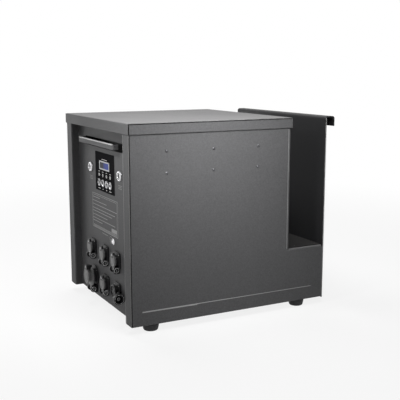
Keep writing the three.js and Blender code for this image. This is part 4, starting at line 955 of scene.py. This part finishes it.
class FLAME_OT_case_trim(bpy.types.Operator):
    """Add the rivets, the screws of the tray and the hinge, the printed lines, the painted highlights along
    the folds and the painted shade at the seams
    """

    bl_idname = "flame_machine.case_trim"
    bl_label = "Rivets, screws and printed lines"

    def execute(self, context):
        self.fasteners(context.scene.flame_machine_sizes)
        self.prints()
        self.seams()
        return {"FINISHED"}

    def fasteners(self, sizes):
        """Six rivets on each side, and the screws of the tray and of both leaves of the hinge."""
        rivets = [(x, z) for x in (88, 204, 320) for z in (339.5, 388)]
        sides = {NEAR: [(x, 0.0, z) for x, z in rivets], FAR: [(x, CASE_DEPTH, z) for x, z in rivets]}
        heads("side_rivets", sides, sizes.rivet_radius / MM, sizes.rivet_height / MM, 0.0, "dark_steel")
        tray = [(x, y, TRAY_Z + SHEET) for x in (437, 496) for y in (15, CASE_DEPTH - 15)]
        heads("tray_screws", {UP: tray}, sizes.screw_radius / MM, sizes.screw_height / MM, 0.9, "dark_steel")
        leaves = (("hinge_screws", 1.2, 406, "case"), ("lid_leaf_screws", 3.4, 437.5, "lid"))
        for name, proud, z, body in leaves:
            leaf = [(x, CASE_DEPTH + proud, z) for x in (62, 133, 205, 277, 348)]
            heads(name, {FAR: leaf}, 3.2, 1.4, 0.8, body=body)

    def prints(self):
        """The printed line low on the near side, and the printed frame of plain bars on the control panel."""
        line = [(26, 32.6), (160, 31.6), (165, 33.2), (477, 33.2), (477, 34.4), (26, 35.2)]
        piece("printed_line", slab("y", [line], -0.08, SINK), "grey_print")
        bars = [(240, 252), (195, 243), (128, 234), (140, 224.5), (160, 217.5), (190, 208.5), (140, 200),
                (225, 193)]
        printed = [
            printed_loops(round_box(122, 176, 294, 262, 3), round_box(123.2, 177.2, 292.8, 260.8, 2)),
            printed_loops(round_box(128, 182, 290, 258, 2), round_box(128.9, 182.9, 289.1, 257.1, 1.2)),
            mark(RECESS, 130, 184, 164, 193),
            mark(RECESS, 190, 169.4, 228, 170.6),
            *(mark(RECESS, y, z - 0.7, 290, z + 0.7) for y, z in bars),
        ]
        piece("printed_frame", printed, "grey_print")
        piece("printed_band", mark(RECESS, 126, 177.6, 288, 181.6), "faint_print")

    def seams(self):
        """Painted highlights along the folds and sheet edges, and painted shade as thin dark strips at the
        corner posts and between the lid's lips.
        """
        far, low = CASE_DEPTH, 3
        # Light strips painted as the highlights of rounded folds and lit sheet edges: on the front of the
        # posts along their edges, and on the near and far faces at the panel's end by the chamber and at the
        # shield's edge
        post_folds = ((1.9, 3.1), (34.2, 35.2), (far - 3.1, far - 1.9))
        folds = [mark(0, y0, low, y1, SIDE_TOP) for y0, y1 in post_folds]
        for x0, z0, x1, z1 in ((403.7, 136, 404.8, SIDE_TOP), (510.4, low, 512.6, 446)):
            folds.append(box(x0, -PRINT, z0, x1, SINK, z1))
            folds.append(box(x0, far - SINK, z0, x1, far + PRINT, z1))
        # Thin dark strips painted as the shade at the joints: on the near and far faces beside the corner
        # posts, and on the lid's near and far lips at the corner and along the top edge
        gaps = ((-0.05, SINK), (far - SINK, far + 0.05))
        posts = [box(0.3, y0, low, 2.4, y1, SIDE_TOP) for y0, y1 in gaps]
        lips = [box(-1.9, y0, z0, x1, y1, z1) for y0, y1 in ((-2.3, -2.25), (far + 2.28, far + 2.35))
                for z0, x1, z1 in ((426.5, 0.3, 448.6), (446.9, 412.6, 448.9))]
        piece("fold_lines", folds, "fold_line")
        piece("case_seams", posts, "seam_gap")
        piece("lid_seams", lips, "seam_gap", body="lid")


class FLAME_OT_feet(bpy.types.Operator):
    """Build the four rubber feet with their steel screws"""

    bl_idname = "flame_machine.feet"
    bl_label = "Feet"

    def execute(self, context):
        profile = [(0, 0), (19, 0), (19, -6.3), (16.8, -16.2), (15, -18), (6, -18), (6, -12), (0, -12)]
        for name, (x, y) in FEET.items():
            foot = turned(profile, (x, y, 0), UP, easing=1.0)
            piece(f"foot_moulding_{name}", foot, "moulded_rubber", [f"foot_{name}"])
        heads("foot_screws", {DOWN: [(x, y, -12) for x, y in FEET.values()]}, 4.5, 2.6, 1.1)
        return {"FINISHED"}


class FLAME_OT_keypad(bpy.types.Operator):
    """Build the keypad film, its lamps and marks, the display and the buttons"""

    bl_idname = "flame_machine.keypad"
    bl_label = "Keypad, display and buttons"

    def execute(self, context):
        columns = [PANEL_MID + (i - 1.5) * BUTTON_PITCH for i in range(4)]
        front = RECESS - KEYPAD["sheet"]
        self.film(front, columns)
        self.buttons(columns)
        self.lamps(columns)
        bars = [(y, 4.6, 319.6, 320.8) for y in columns]
        bars += [(y, half, 278.6, 279.9) for y, half in zip(columns, (6.5, 3.5, 3.5, 6.5))]
        bars.append((PANEL_MID, 18, 350.2, 351.2))
        marks = [mark(front, y - half, low, y + half, high) for y, half, low, high in bars]
        piece("keypad_marks", marks, "white_print")
        return {"FINISHED"}

    def film(self, front, columns):
        """The film with its holes for the buttons and the display, and the display's glass."""
        low, high, half = DISPLAY["low"], DISPLAY["high"], KEYPAD["half"]
        inset, glass = DISPLAY["half"] - 2, DISPLAY["half"] - 4
        pad = [round_box(PANEL_MID - half, KEYPAD["low"], PANEL_MID + half, KEYPAD["high"], 2)]
        pad += [ring(y, BUTTON_Z, 9.4)[::-1] for y in columns]
        pad.append(round_box(PANEL_MID - inset, low + 2, PANEL_MID + inset, high - 2, 0.5, 2)[::-1])
        film = slab("x", pad, front, RECESS)
        piece("keypad_film", film, "black_film", ["keypad_plate"], bevel=0.3)
        dress({"silver_moulding": ["display_module"]})
        pane = box(18.5, PANEL_MID - glass, low + 3.2, 19.2, PANEL_MID + glass, high - 3.2)
        piece("display_glass", pane, "lit_screen", bevel=0.15)

    def buttons(self, columns):
        """The four buttons, each with a dot, a dark ring of painted shade in place of a groove, and one of
        four plain signs.
        """
        profile = [(0, 1.5), (2.8, 1.5), (3.4, 1.9), (5.6, 2.2), (6.2, 2.8), (7.8, 2.8), (9, 1.8), (9, -0.3),
                   (10.3, -0.3), (10.3, -1.5), (3, -1.5), (3, -8), (0, -8)]
        signs = ((), (-3.6,), (3.6,), (-3.6, 3.6))
        for number, (y, bars) in enumerate(zip(columns, signs), 1):
            place, body = (RECESS, y, BUTTON_Z), f"button_{number}"
            cap = turned(profile, place, OUT)
            piece(f"button_cap_{number}", cap, "button_metal", [body], body)
            # The dot, and a near-black ring on the rim painted as the shade of a groove
            marks = [rod(3.3, 2.05, 1.3, place, OUT), sleeve(6.5, 7.5, 2.9, 2.5, place, OUT)]
            for rise in bars:
                z = BUTTON_Z + rise
                marks.append(box(RECESS - 2.9, y - 5, z - 0.6, RECESS - 2, y + 5, z + 0.6))
            piece(f"button_mark_{number}", marks, "seam_gap", body=body)

    def lamps(self, columns):
        """A small lamp in its ring above each button."""
        places = [(RECESS, y, LAMP_Z) for y in columns]
        rings = [rim(2.4, 4.0, 0.7, 0.95, 1.2, 0.3, place, OUT, 32, 0.1) for place in places]
        piece("keypad_lamp_rings", rings, "white_print")
        lens = [(0, 1.5), (1.2, 1.3), (1.7, 0.9), (1.7, 0.7), (0, 0.7)]
        lenses = [turned(lens, place, OUT, 24, 0.1) for place in places]
        piece("keypad_lamp_lenses", lenses, "silver_moulding")


class FLAME_OT_keys(bpy.types.Operator):
    """Build the two key switches and their plugs, and the earth terminal"""

    bl_idname = "flame_machine.keys"
    bl_label = "Key switches and earth terminal"

    def execute(self, context):
        for side, y in KEYS.items():
            self.key(side, y)
        stud = [(0, 4.8), (3.5, 4.4), (6, 1.6), (7, 1.6), (7, 0), (3, 0), (3, -1.8), (6, -1.8), (6, -6.5),
                (3, -6.5), (3, -13), (0, -13)]
        piece("earth_stud", turned(stud, (RECESS, *EARTH), OUT), "chrome", ["earth_terminal"])
        y, z = EARTH[0] + 19, EARTH[1] + 1
        sign = [printed_loops(ring(y, z, 8.5), ring(y, z, 7.6)), mark(RECESS, y - 0.5, z, y + 0.5, z + 5.2)]
        sign += dashes(RECESS, y, [(z, 4.6), (z - 2.2, 3), (z - 4.4, 1.4)], 0.5)
        piece("earth_sign", sign, "grey_print")
        return {"FINISHED"}

    def key(self, side, y):
        """A key switch: its bezel, the plug with its slot, a dark ring of painted shade in place of a groove,
        and three plain bars below.
        """
        place, plug = (RECESS, y, KEY_Z), f"key_plug_{side}"
        shell = [(0, -14), (6.3, -14), (6.3, 3.0), (7.4, 4), (10, 4), (12, 2), (12, 0), (9.6, 0), (9.6, -26),
                 (0, -26)]
        bezel = turned(shell, place, OUT, easing=0.5)
        piece(f"key_bezel_{side}", bezel, "key_metal", [f"key_switch_{side}"])
        core = turned([(0, -13.7), (6, -13.7), (6, 2.0), (5.4, 2.6), (0, 2.6)], place, OUT, easing=0.3)
        barrel = piece(f"key_barrel_{side}", core, "dark_steel", [plug], plug)
        cut_with(barrel, box(RECESS - 6, y - 1.2, KEY_Z - 4.2, RECESS + 0.4, y + 1.2, KEY_Z + 4.2))
        # A near-black ring on the bezel, painted as the shade of a groove
        piece(f"key_shade_{side}", sleeve(7.4, 8.6, 4.05, 3.6, place, OUT), "seam_gap")
        bars = dashes(RECESS, y, [(KEY_Z - 22.5, 12), (KEY_Z - 26, 9), (KEY_Z - 29.5, 11)], 0.9)
        piece(f"key_mark_{side}", bars, "faint_print")


def lug_place(size):
    """How far the hinge pin of a flap stands out of the panel and hangs below the socket's middle."""
    return size["proud"] - size["lid"] - 1.3, math.sqrt(size["cap"] ** 2 - LUG_GAP ** 2) + LUG_R + 1.5


class FLAME_OT_connectors(bpy.types.Operator):
    """Build the six connectors, the five flaps and the captive cap"""

    bl_idname = "flame_machine.connectors"
    bl_label = "Connectors, flaps and captive cap"

    def execute(self, context):
        screws = []
        for number, (y, z, size) in enumerate(SOCKETS, 1):
            screws += self.socket(number, y, z, size)
            self.flap(number, y, z, size)
        self.open_socket(*OPEN_SOCKET)
        screws += four(RECESS - FLANGE, *OPEN_SOCKET, OPEN_SCREW_SPAN, OPEN_SCREW_SPAN)
        heads("connector_screws", {OUT: screws}, 2.6, 1.5, 0.7, "bright_screw")
        self.cap(*OPEN_SOCKET)
        return {"FINISHED"}

    def socket(self, number, y, z, size):
        """The fixed part: flange, barrel with its contacts, lugs and hinge pin. Gives its screws' places."""
        reach, drop = lug_place(size)
        half, bore, barrel = size["flange"], size["bore"], size["barrel"]
        mouth = size["proud"] - size["lid"] - 0.3
        hinge_x, hinge_z = RECESS - reach, z - drop
        face = [round_box(y - half, z - half, y + half, z + half, min(size["round"], half - 0.01), 16),
                ring(y, z, bore + 1)[::-1]]
        shell = [(0, -SOCKET_DEPTH), (bore, -SOCKET_DEPTH), (bore, mouth), (barrel, mouth),
                 (barrel, -CONNECTOR_BACK), (0, -CONNECTOR_BACK)]
        parts = [slab("x", face, RECESS - FLANGE, RECESS), turned(shell, (RECESS, y, z), OUT)]
        sides = 48
        lug = ring(hinge_x, hinge_z, LUG_R, sides, QUARTER)[:sides // 2 + 1]
        lug += [(RECESS, hinge_z - LUG_R), (RECESS, hinge_z + LUG_R)]
        parts += [slab("y", [lug], y + side, y + side + LUG_SHEET) for side in (-LUG_SPAN, LUG_GAP)]
        parts.append(box(RECESS - FLANGE, y - LUG_SPAN, hinge_z - LUG_R * 0.5, RECESS, y + LUG_SPAN,
                         z + max(-drop + LUG_R, 6 - half)))
        piece(f"socket_{number}", parts, "black_moulding", [f"connector_{number}"])
        contact = [(0, 0.5), (0.9, 0), (0.9, -SOCKET_DEPTH - 0.5), (0, -SOCKET_DEPTH - 0.5)]
        places = ring(y, z, bore * 0.55, CONTACTS, QUARTER)
        contacts = [turned(contact, (RECESS, *at), OUT, 16, 0.2) for at in places]
        piece(f"socket_contacts_{number}", contacts, "turned_brass")
        hinge = (hinge_x, y - LUG_SPAN, hinge_z)
        pin = rod(1.6, -0.6, 2 * LUG_SPAN - 0.2, hinge, FAR, 24, 0.2)
        piece(f"flap_pin_{number}", pin, "satin_steel")
        heads(f"flap_screw_{number}", {NEAR: [hinge]}, 4.2, 1.2, 0.9, "bright_screw")
        # A light ring round each hinge screw, painted as the highlight of the lug's rim
        highlight_rim = rim(4.7, 6.3, 0, 0.5, 0.9, 0.4, hinge, NEAR, 48, 0.1)
        piece(f"lug_rim_{number}", highlight_rim, "worn_moulding")
        if size is LARGE:
            return [(RECESS - FLANGE, *at) for at in ring(y, z, 21.5, 4, QUARTER / 2)[:2]]
        return four(RECESS - FLANGE, y, z, SCREW_SPAN, SCREW_SPAN)

    def flap(self, number, y, z, size):
        """The hinged flap: a ribbed disc with its arm, its knuckle and its latch."""
        reach, drop = lug_place(size)
        edge, front, plug = size["cap"], size["proud"], size["bore"] - PLUG_PLAY
        back, high = front - size["lid"], z + edge
        face, waist = edge, []
        if size is LARGE:
            face = LARGE_FACE
            waist = [(edge, back + 3.4), (LARGE_NECK, back + 4.4), (LARGE_NECK, front - 3.8),
                     (face, front - 3)]
        disc = [(0, back - 1.5), (plug, back - 1.5), (plug, back), (edge, back), *waist, (face, front - 1),
                (face - 1.5, front), (face - 3, front), (face - 3.6, front - 0.7), (face - 7.5, front - 0.7),
                (face - 8.2, front - 0.2), (0, front - 0.2)]
        arms = [round_box(y - LUG_GAP + 3, z - drop, y + LUG_GAP - 3, z - edge + 3, 1.5, 4),
                round_box(y - 4.5, high - 3, y + 4.5, high + 4.5, 2.5, 4)]
        knuckle = (RECESS - reach, y - LUG_GAP + 0.5, z - drop)
        parts = [
            turned(disc, (RECESS, y, z), OUT),
            *(slab("x", [arm], RECESS - back - 2.6, RECESS - back) for arm in arms),
            sleeve(2, 3.5, 0, 2 * LUG_GAP - 1, knuckle, FAR, 32, 0.3),
        ]
        body = f"flap_{number}"
        piece(f"{body}_moulding", parts, "flap_moulding", [f"connector_{body}"], body)
        latch = slab("x", [round_box(y - 7.5, high - 8.5, y + 7.5, high + 4.3, 3.5)], RECESS - front - 0.1,
                     RECESS - back - 0.4)
        piece(f"flap_latch_{number}", latch, "black_moulding", body=body, bevel=0.4)
        # A light ring on the latch, painted as a highlight
        eye = sleeve(1.4, 3.0, 0.1, 0.16, (RECESS - front, y + 2.5, high - 2), OUT, 24)
        piece(f"flap_latch_eye_{number}", eye, "worn_moulding", body=body)

    def open_socket(self, y, z):
        """The connector without a flap, with five contact holes in its insulator."""
        top, cap, barrel, half = SMALL["proud"], SMALL["cap"], SMALL["barrel"], SMALL["flange"]
        face = [round_box(y - half, z - half, y + half, z + half, SMALL["round"], 16)]
        shell = [(0, top - 2), (cap - 2.2, top - 2), (cap - 2, top), (cap, top - 0.6), (cap, top - 5),
                 (barrel, top - 6), (barrel, -CONNECTOR_BACK), (0, -CONNECTOR_BACK)]
        parts = [slab("x", face, RECESS - FLANGE, RECESS), turned(shell, (RECESS, y, z), OUT, easing=0.25),
                 box(RECESS - 6, y - 23, z - 4, RECESS - FLANGE, y - 17, z + 4)]
        made = piece("open_socket", parts, "black_moulding", ["connector_6"])
        places = ring(y, z, 8, CONTACTS, QUARTER)
        cut_with(made, merged([rod(1.8, top - 9, top + 1, (RECESS, *at), OUT, 24) for at in places]))
        stud = rod(1.6, 3, 9.6, (RECESS, y - CAP_STUD, z), OUT, 24, 0.2)
        piece("cap_stud", stud, "satin_steel")

    def cap(self, y, z):
        """The captive cap on its strap, hanging open side out."""
        cup = [(0, 4), (13, 4), (13, 1), (12.3, 0.4), (13, -0.2), (13, -6), (10.5, -6), (10.5, 1), (4, 1),
               (4, -2), (0, -2)]
        centre = (RECESS - 13.2, y - 34, z - 9)
        eye = [ring(y - CAP_STUD, z, 4.2), ring(y - CAP_STUD, z, 2.1, 24)[::-1]]
        strap = [[(y - 32, z - 5), (y - 24, z - 3.2), (y - 24, z + 2.4), (y - 32, z + 1.5)]]
        parts = [turned(cup, centre, FAR, easing=0.5),
                 *(slab("x", loops, RECESS - 8.5, RECESS - 6.3) for loops in (eye, strap))]
        body = "captive_cap"
        piece("captive_cap_moulding", parts, "black_moulding", [body], body)
        # Light rings on the cup's rim and round its middle, painted as highlights
        rims = [rim(outer, inner, foot, foot - 0.2, foot - 0.35, -0.4, centre, FAR, 64, 0.05)
                for inner, outer, foot in ((10.6, 11.5, -5.9), (2.0, 3.8, -1.9))]
        piece("captive_cap_rims", rims, "worn_moulding", body=body)


class FLAME_OT_head(bpy.types.Operator):
    """Build the nozzle and the electrodes, and the screws of the head and its drive"""

    bl_idname = "flame_machine.head"
    bl_label = "Flame head and swivel drive"

    def execute(self, context):
        top, mid = HEAD["top"], HEAD["mid"]
        self.nozzle(top, mid)
        self.electrode("near", -1, top, mid)
        self.electrode("far", 1, top, mid)
        self.screws(HEAD["axis"], HEAD["motor"])
        return {"FINISHED"}

    def nozzle(self, top, x):
        """The turned nozzle on its hexagon."""
        profile = [(0, 4), (8, 4), (8, 10), (7.4, 10.6), (8, 11.2), (8, 18), (5.5, 26), (5.5, 36), (4.6, 36),
                   (2, 33), (1.6, 26), (0, 26)]
        hexagon = slab("z", [ring(x, MID_Y, 10, 6)], top, top + 8)
        parts = [hexagon, turned(profile, (x, MID_Y, top), UP, easing=0.3)]
        piece("nozzle_body", parts, "turned_brass", ["nozzle"], "flame_head", 0.4)

    def electrode(self, name, side, top, x):
        """A ribbed ceramic sleeve, and its wire bent towards the nozzle."""
        y, tip = MID_Y + side * 17, top + 41
        profile = [(0, -13), (4.5, -13), (4.5, 6), (5.5, 8), (5.5, 11), (4.5, 13), (4.2, 16), (4.4, 17),
                   (4.1, 18), (4.3, 20), (4.0, 21), (4.1, 23), (3.7, 24), (3.5, 30), (0, 30)]
        piece(f"electrode_sleeve_{name}", turned(profile, (x, y, top), UP, 48, 0.3), "glazed_ceramic",
              [f"electrode_{name}"], "flame_head")
        bend = [(x, y - side * 2 * (1 - math.cos(a)), tip - 2 + 2 * math.sin(a)) for a in ARC]
        wire = tube([(x, y, top + 25), *bend, (x, MID_Y + side * 2.5, tip)], 1.0)
        piece(f"electrode_wire_{name}", wire, "satin_steel", body="flame_head")

    def screws(self, axis, motor):
        """The screws of the head, of the bearing's flange and the bracket's ears, and of the motor."""
        face = [(HEAD["left"] + a, MID_Y - 24, axis + b) for a in (8, 30) for b in (-20, 36)]
        heads("head_screws", {NEAR: face}, 2.8, 1.6, 0.8, "dark_steel", "flame_head")
        flange = [(404.5, *at) for at in ring(MID_Y, axis, 27, 4, QUARTER / 2)]
        heads("drive_screws", {OUT: flange + four(368.5, MID_Y, axis, 21, 16)}, 3.2, 2.0, 0.9)
        heads("motor_screws", {OUT: four(294.2, MID_Y, motor, 23.5, 23.5)}, 2.6, 1.6, 0.8)


class FLAME_OT_fuel(bpy.types.Operator):
    """Build the tank's ribbed cap, the pump motor, the hoses and their ferrules"""

    bl_idname = "flame_machine.fuel"
    bl_label = "Fuel system"

    def execute(self, context):
        self.tank(TANK["neck_x"], TANK["neck_y"], TANK["neck_top"])
        y, z = PUMP["y"], PUMP["z"]
        can = [(0, -72), (22, -72), (24, -70), (24, -66), (29, -65.5), (30, -64), (30, -58), (29.5, -57.5),
               (30, -57), (30, -14), (29.5, -13.5), (30, -13), (30, -6), (26, -4), (26, -0.3), (0, -0.3)]
        saddle = box(312, 38, 2, 352, 82, 24)
        motor = [turned(can, (PUMP["motor"], y, z), RIGHT, 96), saddle]
        piece("pump_motor_can", motor, "satin_steel", ["pump_motor"])
        for name in ("suction_hose", "pressure_hose", "feed_hose"):
            rounded_hose(name)
        ferrule = [(5.1, -8), (6.3, -8), (6.6, -6), (6.2, -5), (6.6, -4), (6.6, 4), (6.2, 5), (6.6, 6),
                   (6.3, 8), (5.1, 8), (5.1, -8)]
        ends = [((298, 102, 28), RIGHT), ((386, 95, 42), FAR), ((386, 60, 79), UP), ((386, 330, 137), UP),
                ((360, 330, 165), RIGHT), ((331, MID_Y, 290), RIGHT)]
        ferrules = [turned(ferrule, at, way, 32, 0.2) for at, way in ends]
        piece("hose_ferrules", ferrules, "zinc_steel")
        heads("pump_screws", {RIGHT: [(PUMP["end"], *at) for at in ring(y, z, 13, 4)]}, 2.4, 1.6, 0.8)
        coil = slab("z", [round_box(374.9, 314.7, 405.5, 345.3, 4)], 181, 222.3)
        piece("valve_coil", coil, "black_moulding", bevel=1.0)
        return {"FINISHED"}

    def tank(self, x, y, top):
        """The tank's ribbed cap with its bar to turn it by, and the thread that it screws on."""
        shell = [(0, 0.3), (28.8, 0.3), (28.8, -15), (32.5, -15), (32.5, 5.5), (31, 7), (14, 7), (13, 6.6),
                 (0, 6.6)]
        bar = slab("z", [round_box(x - 26.5, y - 4, x + 26.5, y + 4, 3.9, 8)], top + 6, top + 14)
        cap = [turned(shell, (x, y, top), UP, 96), bar]
        look, slot, body = "black_moulding", "cap_plastic", "fuel_cap"
        piece("tank_cap", cap, look, [body], body, 0.5)
        ribs = {"Count": 48, "Radius": 32.6 * MM, "Rib size": (2.2 * MM, 1.8 * MM, 16 * MM)}
        repeated("tank_cap_ribs", "rib_ring", (x, y, top - 5), ribs, look, body)
        root, crest, pitch = 28.0, 28.7, 3.4
        thread = [(root, 0)]
        for k in range(5):
            drop = pitch * k
            thread += [(root, -16 - drop), (crest, -17 - drop), (crest, -18 - drop), (root, -19 - drop)]
        thread += [(27.5, -34), (27.5, 0), (root, 0)]
        piece("tank_neck_thread", turned(thread, (x, y, top), UP, 64, 0.2), "natural_plastic")


class FLAME_OT_electrics(bpy.types.Operator):
    """Build the control board and the screws of the power supply and the transformer"""

    bl_idname = "flame_machine.electrics"
    bl_label = "Electrical units"

    def execute(self, context):
        x, low, high, half = BOARD["back"], BOARD["low"], BOARD["high"], BOARD["half"]
        outline = round_box(PANEL_MID - half, low, PANEL_MID + half, high, 2)
        sheet = slab("x", [outline], x - BOARD["sheet"], x)
        piece("board_sheet", sheet, "solder_resist", ["control_board"])
        fixings = [(PANEL_MID + a * (half - 4), z) for a in (-1, 1) for z in (low + 3, high - 4)]
        posts = [rod(3, 0, 8.2, (21.8, *at), RIGHT, 6) for at in fixings]
        piece("board_posts", posts, "turned_brass")
        heads("board_screws", {RIGHT: [(x, *at) for at in fixings]}, 2.8, 1.8, 0.8)
        relays = [box(x, y, high - 34, x + 15.2, y + 18, high - 12) for y in self.across(-45, -20, 5)]
        piece("board_relays", relays, "relay_blue", bevel=0.6)
        plug_places = self.across(-50, -25, 0, 25)
        plugs = [box(x, y, low + 6, x + 10.2, y + 20, low + 15) for y in plug_places]
        piece("board_plugs", plugs, "terminal_green", bevel=0.4)
        wires = [(x + 10.2, y + 2.5 + 5 * k, low + 11) for y in plug_places for k in range(4)]
        heads("plug_screws", {RIGHT: wires}, 1.6, 0.6, 0.5)
        chip = box(x, PANEL_MID + 30, high - 40, x + 2.2, PANEL_MID + 54, high - 16)
        piece("board_chip", chip, "black_moulding", bevel=0.3)
        pins, parts, caps = (0.3, 42, high - 28), (0.5, -4, low + 30), (0.9, -8, low + 48)
        self.rows("chip_pins", pins, (2, 12), (25.2, 21), (1.6, 0.9, 0.6), "zinc_steel")
        self.rows("board_parts", parts, (3, 9), (12, 84), (1.4, 2.6, 1.2), "black_moulding")
        self.rows("board_capacitors", caps, (2, 6), (8, 70), (1.8, 3.4, 2), "turned_brass")
        self.unit_screws()
        return {"FINISHED"}

    def across(self, *steps):
        """Places across the board, from the middle of the panel."""
        return [PANEL_MID + step for step in steps]

    def rows(self, name, centre, count, spread, block, look):
        """Small parts in upright rows on the board, sized in mm."""
        values = {"Columns": count[0], "Rows": count[1], "Long": spread[0] * MM, "Wide": spread[1] * MM,
                  "Turn": (0.0, QUARTER, 0.0), "Block size": tuple(side * MM for side in block)}
        proud, across, z = centre
        place = (BOARD["back"] + proud, PANEL_MID + across, z)
        repeated(name, "block_rows", place, values, look)

    def unit_screws(self):
        """The terminals of the power supply, and the screws on it and on the transformer."""
        top, pitch = 54, 14
        terminals = [(81, 307 + pitch * k, 24) for k in range(7)]
        heads("supply_screws", {UP: terminals}, 3.2, 1.6, 0.9)
        lid = [(x, y, top) for x in (97, 278) for y in (298, 399)]
        heads("supply_cover_screws", {UP: lid}, 2.6, 1.6, 0.8)
        ears = [(x, y, top) for x in (312, 388) for y in (307, 358)]
        heads("transformer_screws", {UP: ears}, 2.8, 1.6, 0.9)


class FLAME_OT_inside(bpy.types.Operator):
    """Finish the flame head, its drive, the fuel system and the electrical units"""

    bl_idname = "flame_machine.inside"
    bl_label = "Inside"

    def execute(self, context):
        dress({
            "machined_aluminium": ["bearing_housing", "fuel_pump"],
            "cast_aluminium": ["flame_head"],
            "galvanised_steel": ["power_supply"],
            "turned_brass": ["motor_pinion", "rotary_union", "solenoid_valve"],
            "satin_steel": ["swivel_shaft", "swivel_gear", "motor_bracket"],
            "motor_enamel": ["swivel_motor"],
            "natural_plastic": ["fuel_tank"],
            "black_moulding": ["ignition_transformer"],
        })
        return {"FINISHED"}


class FLAME_OT_stage(bpy.types.Operator):
    """Set the floor, the lamps, the room light and the camera"""

    bl_idname = "flame_machine.stage"
    bl_label = "Stage"

    def execute(self, context):
        self.floor()
        self.room(context)
        for name, settings in LAMPS.items():
            self.lamp(name, *settings)
        self.camera(context)
        context.scene.view_settings.view_transform = "Standard"
        return {"FINISHED"}

    def floor(self):
        """A pale floor that takes the shadow and fades into the white room away from the machine."""
        bm = bmesh.new()
        bmesh.ops.create_circle(bm, cap_ends=True, segments=FLOOR["sides"], radius=FLOOR["radius"])
        ground = placed("floor", mesh_of("floor", bm))
        material, tree, shader = started("floor", grey(0.8), 0.9, shine=0.1)
        light = node(tree, "ShaderNodeLightPath").outputs
        seen = maths(tree, "MAXIMUM", light["Is Camera Ray"], light["Is Glossy Ray"])
        away = node(tree, "ShaderNodeVectorMath", {0: object_place(tree)}, operation="LENGTH")
        reach = {"Value": away.outputs["Value"], "From Min": FLOOR["near"], "From Max": FLOOR["far"],
                 "To Min": FLOOR["share"], "To Max": 1.0}
        fade = node(tree, "ShaderNodeMapRange", reach, interpolation_type="SMOOTHSTEP")
        share = maths(tree, "MULTIPLY", fade.outputs["Result"], seen)
        blend = node(tree, "ShaderNodeMixShader", {0: share, 1: shader, 2: node(tree, "ShaderNodeEmission")})
        feed(tree, tree.nodes["Material Output"].inputs["Surface"], blend)
        ground.data.materials.append(material)

    def room(self, context):
        """A room that looks white, and lights the machine less than it looks."""
        world = bpy.data.worlds.new("room")
        context.scene.world = world
        world.use_nodes = True
        tree = world.node_tree
        tree.nodes.clear()
        light = node(tree, "ShaderNodeLightPath").outputs
        seen = maths(tree, "MAXIMUM", light["Is Camera Ray"], light["Is Glossy Ray"])
        seen = maths(tree, "MAXIMUM", seen, light["Is Transmission Ray"])
        dim, white = (node(tree, "ShaderNodeBackground", {"Color": grey(1.0), "Strength": strength})
                      for strength in (context.scene.flame_machine_stage.room_light, 1.0))
        blend = node(tree, "ShaderNodeMixShader", {0: seen, 1: dim, 2: white})
        node(tree, "ShaderNodeOutputWorld", {"Surface": blend})

    def lamp(self, name, place, target, size, power, spread):
        """A round lamp that looks at a target."""
        data = bpy.data.lights.new(name, "AREA")
        data.shape = "DISK"
        data.size = size
        data.energy = power
        data.spread = math.radians(spread)
        lamp = placed(name, data)
        lamp.location = place
        lamp.rotation_euler = (Vector(target) - Vector(place)).to_track_quat("-Z", "Y").to_euler()

    def camera(self, context):
        """The camera that sees the machine as the photograph shows it."""
        look = context.scene.flame_machine_stage
        data = bpy.data.cameras.new("camera")
        data.lens = look.lens
        data.sensor_width = SENSOR
        camera = placed("camera", data)
        level = math.cos(look.elevation)
        ahead = Vector((math.sin(look.azimuth) * level, math.cos(look.azimuth) * level,
                        math.sin(look.elevation)))
        turn = ahead.to_track_quat("-Z", "Y").to_matrix().to_4x4() @ Matrix.Rotation(look.roll, 4, "Z")
        camera.matrix_world = Matrix.Translation(spot(*CAMERA_PLACE)) @ turn
        context.scene.camera = camera


class FLAME_PT_machine(bpy.types.Panel):
    """Buttons and settings of the flame machine"""

    bl_label = "Flame machine"
    bl_idname = "FLAME_PT_machine"
    bl_space_type = "VIEW_3D"
    bl_region_type = "UI"
    bl_category = "Flame machine"

    def draw(self, context):
        column = self.layout.column()
        for operator in OPERATORS:
            column.operator(operator.bl_idname)
        for settings in ("flame_machine_finish", "flame_machine_sizes", "flame_machine_stage"):
            group = getattr(context.scene, settings)
            rows = self.layout.box()
            for name in group.__annotations__:
                rows.prop(group, name)


OPERATORS = (FLAME_OT_stage, FLAME_OT_case, FLAME_OT_case_trim, FLAME_OT_feet, FLAME_OT_keypad,
             FLAME_OT_keys, FLAME_OT_connectors, FLAME_OT_head, FLAME_OT_fuel, FLAME_OT_electrics,
             FLAME_OT_inside)
SETTINGS = (FlameMachineFinish, FlameMachineSizes, FlameMachineStage)


def register():
    """Registers the settings, the operators and the panel."""
    for made in (*SETTINGS, *OPERATORS, FLAME_PT_machine):
        bpy.utils.register_class(made)
    bpy.types.Scene.flame_machine_finish = PointerProperty(type=FlameMachineFinish)
    bpy.types.Scene.flame_machine_sizes = PointerProperty(type=FlameMachineSizes)
    bpy.types.Scene.flame_machine_stage = PointerProperty(type=FlameMachineStage)


def unregister():
    """Takes them back."""
    del bpy.types.Scene.flame_machine_finish
    del bpy.types.Scene.flame_machine_sizes
    del bpy.types.Scene.flame_machine_stage
    for made in reversed((*SETTINGS, *OPERATORS, FLAME_PT_machine)):
        bpy.utils.unregister_class(made)


def main():
    """Builds everything in order."""
    register()
    bpy.ops.flame_machine.stage()
    bpy.ops.flame_machine.case()
    bpy.ops.flame_machine.case_trim()
    bpy.ops.flame_machine.feet()
    bpy.ops.flame_machine.keypad()
    bpy.ops.flame_machine.keys()
    bpy.ops.flame_machine.connectors()
    bpy.ops.flame_machine.head()
    bpy.ops.flame_machine.fuel()
    bpy.ops.flame_machine.electrics()
    bpy.ops.flame_machine.inside()


if __name__ == "__main__":
    main()
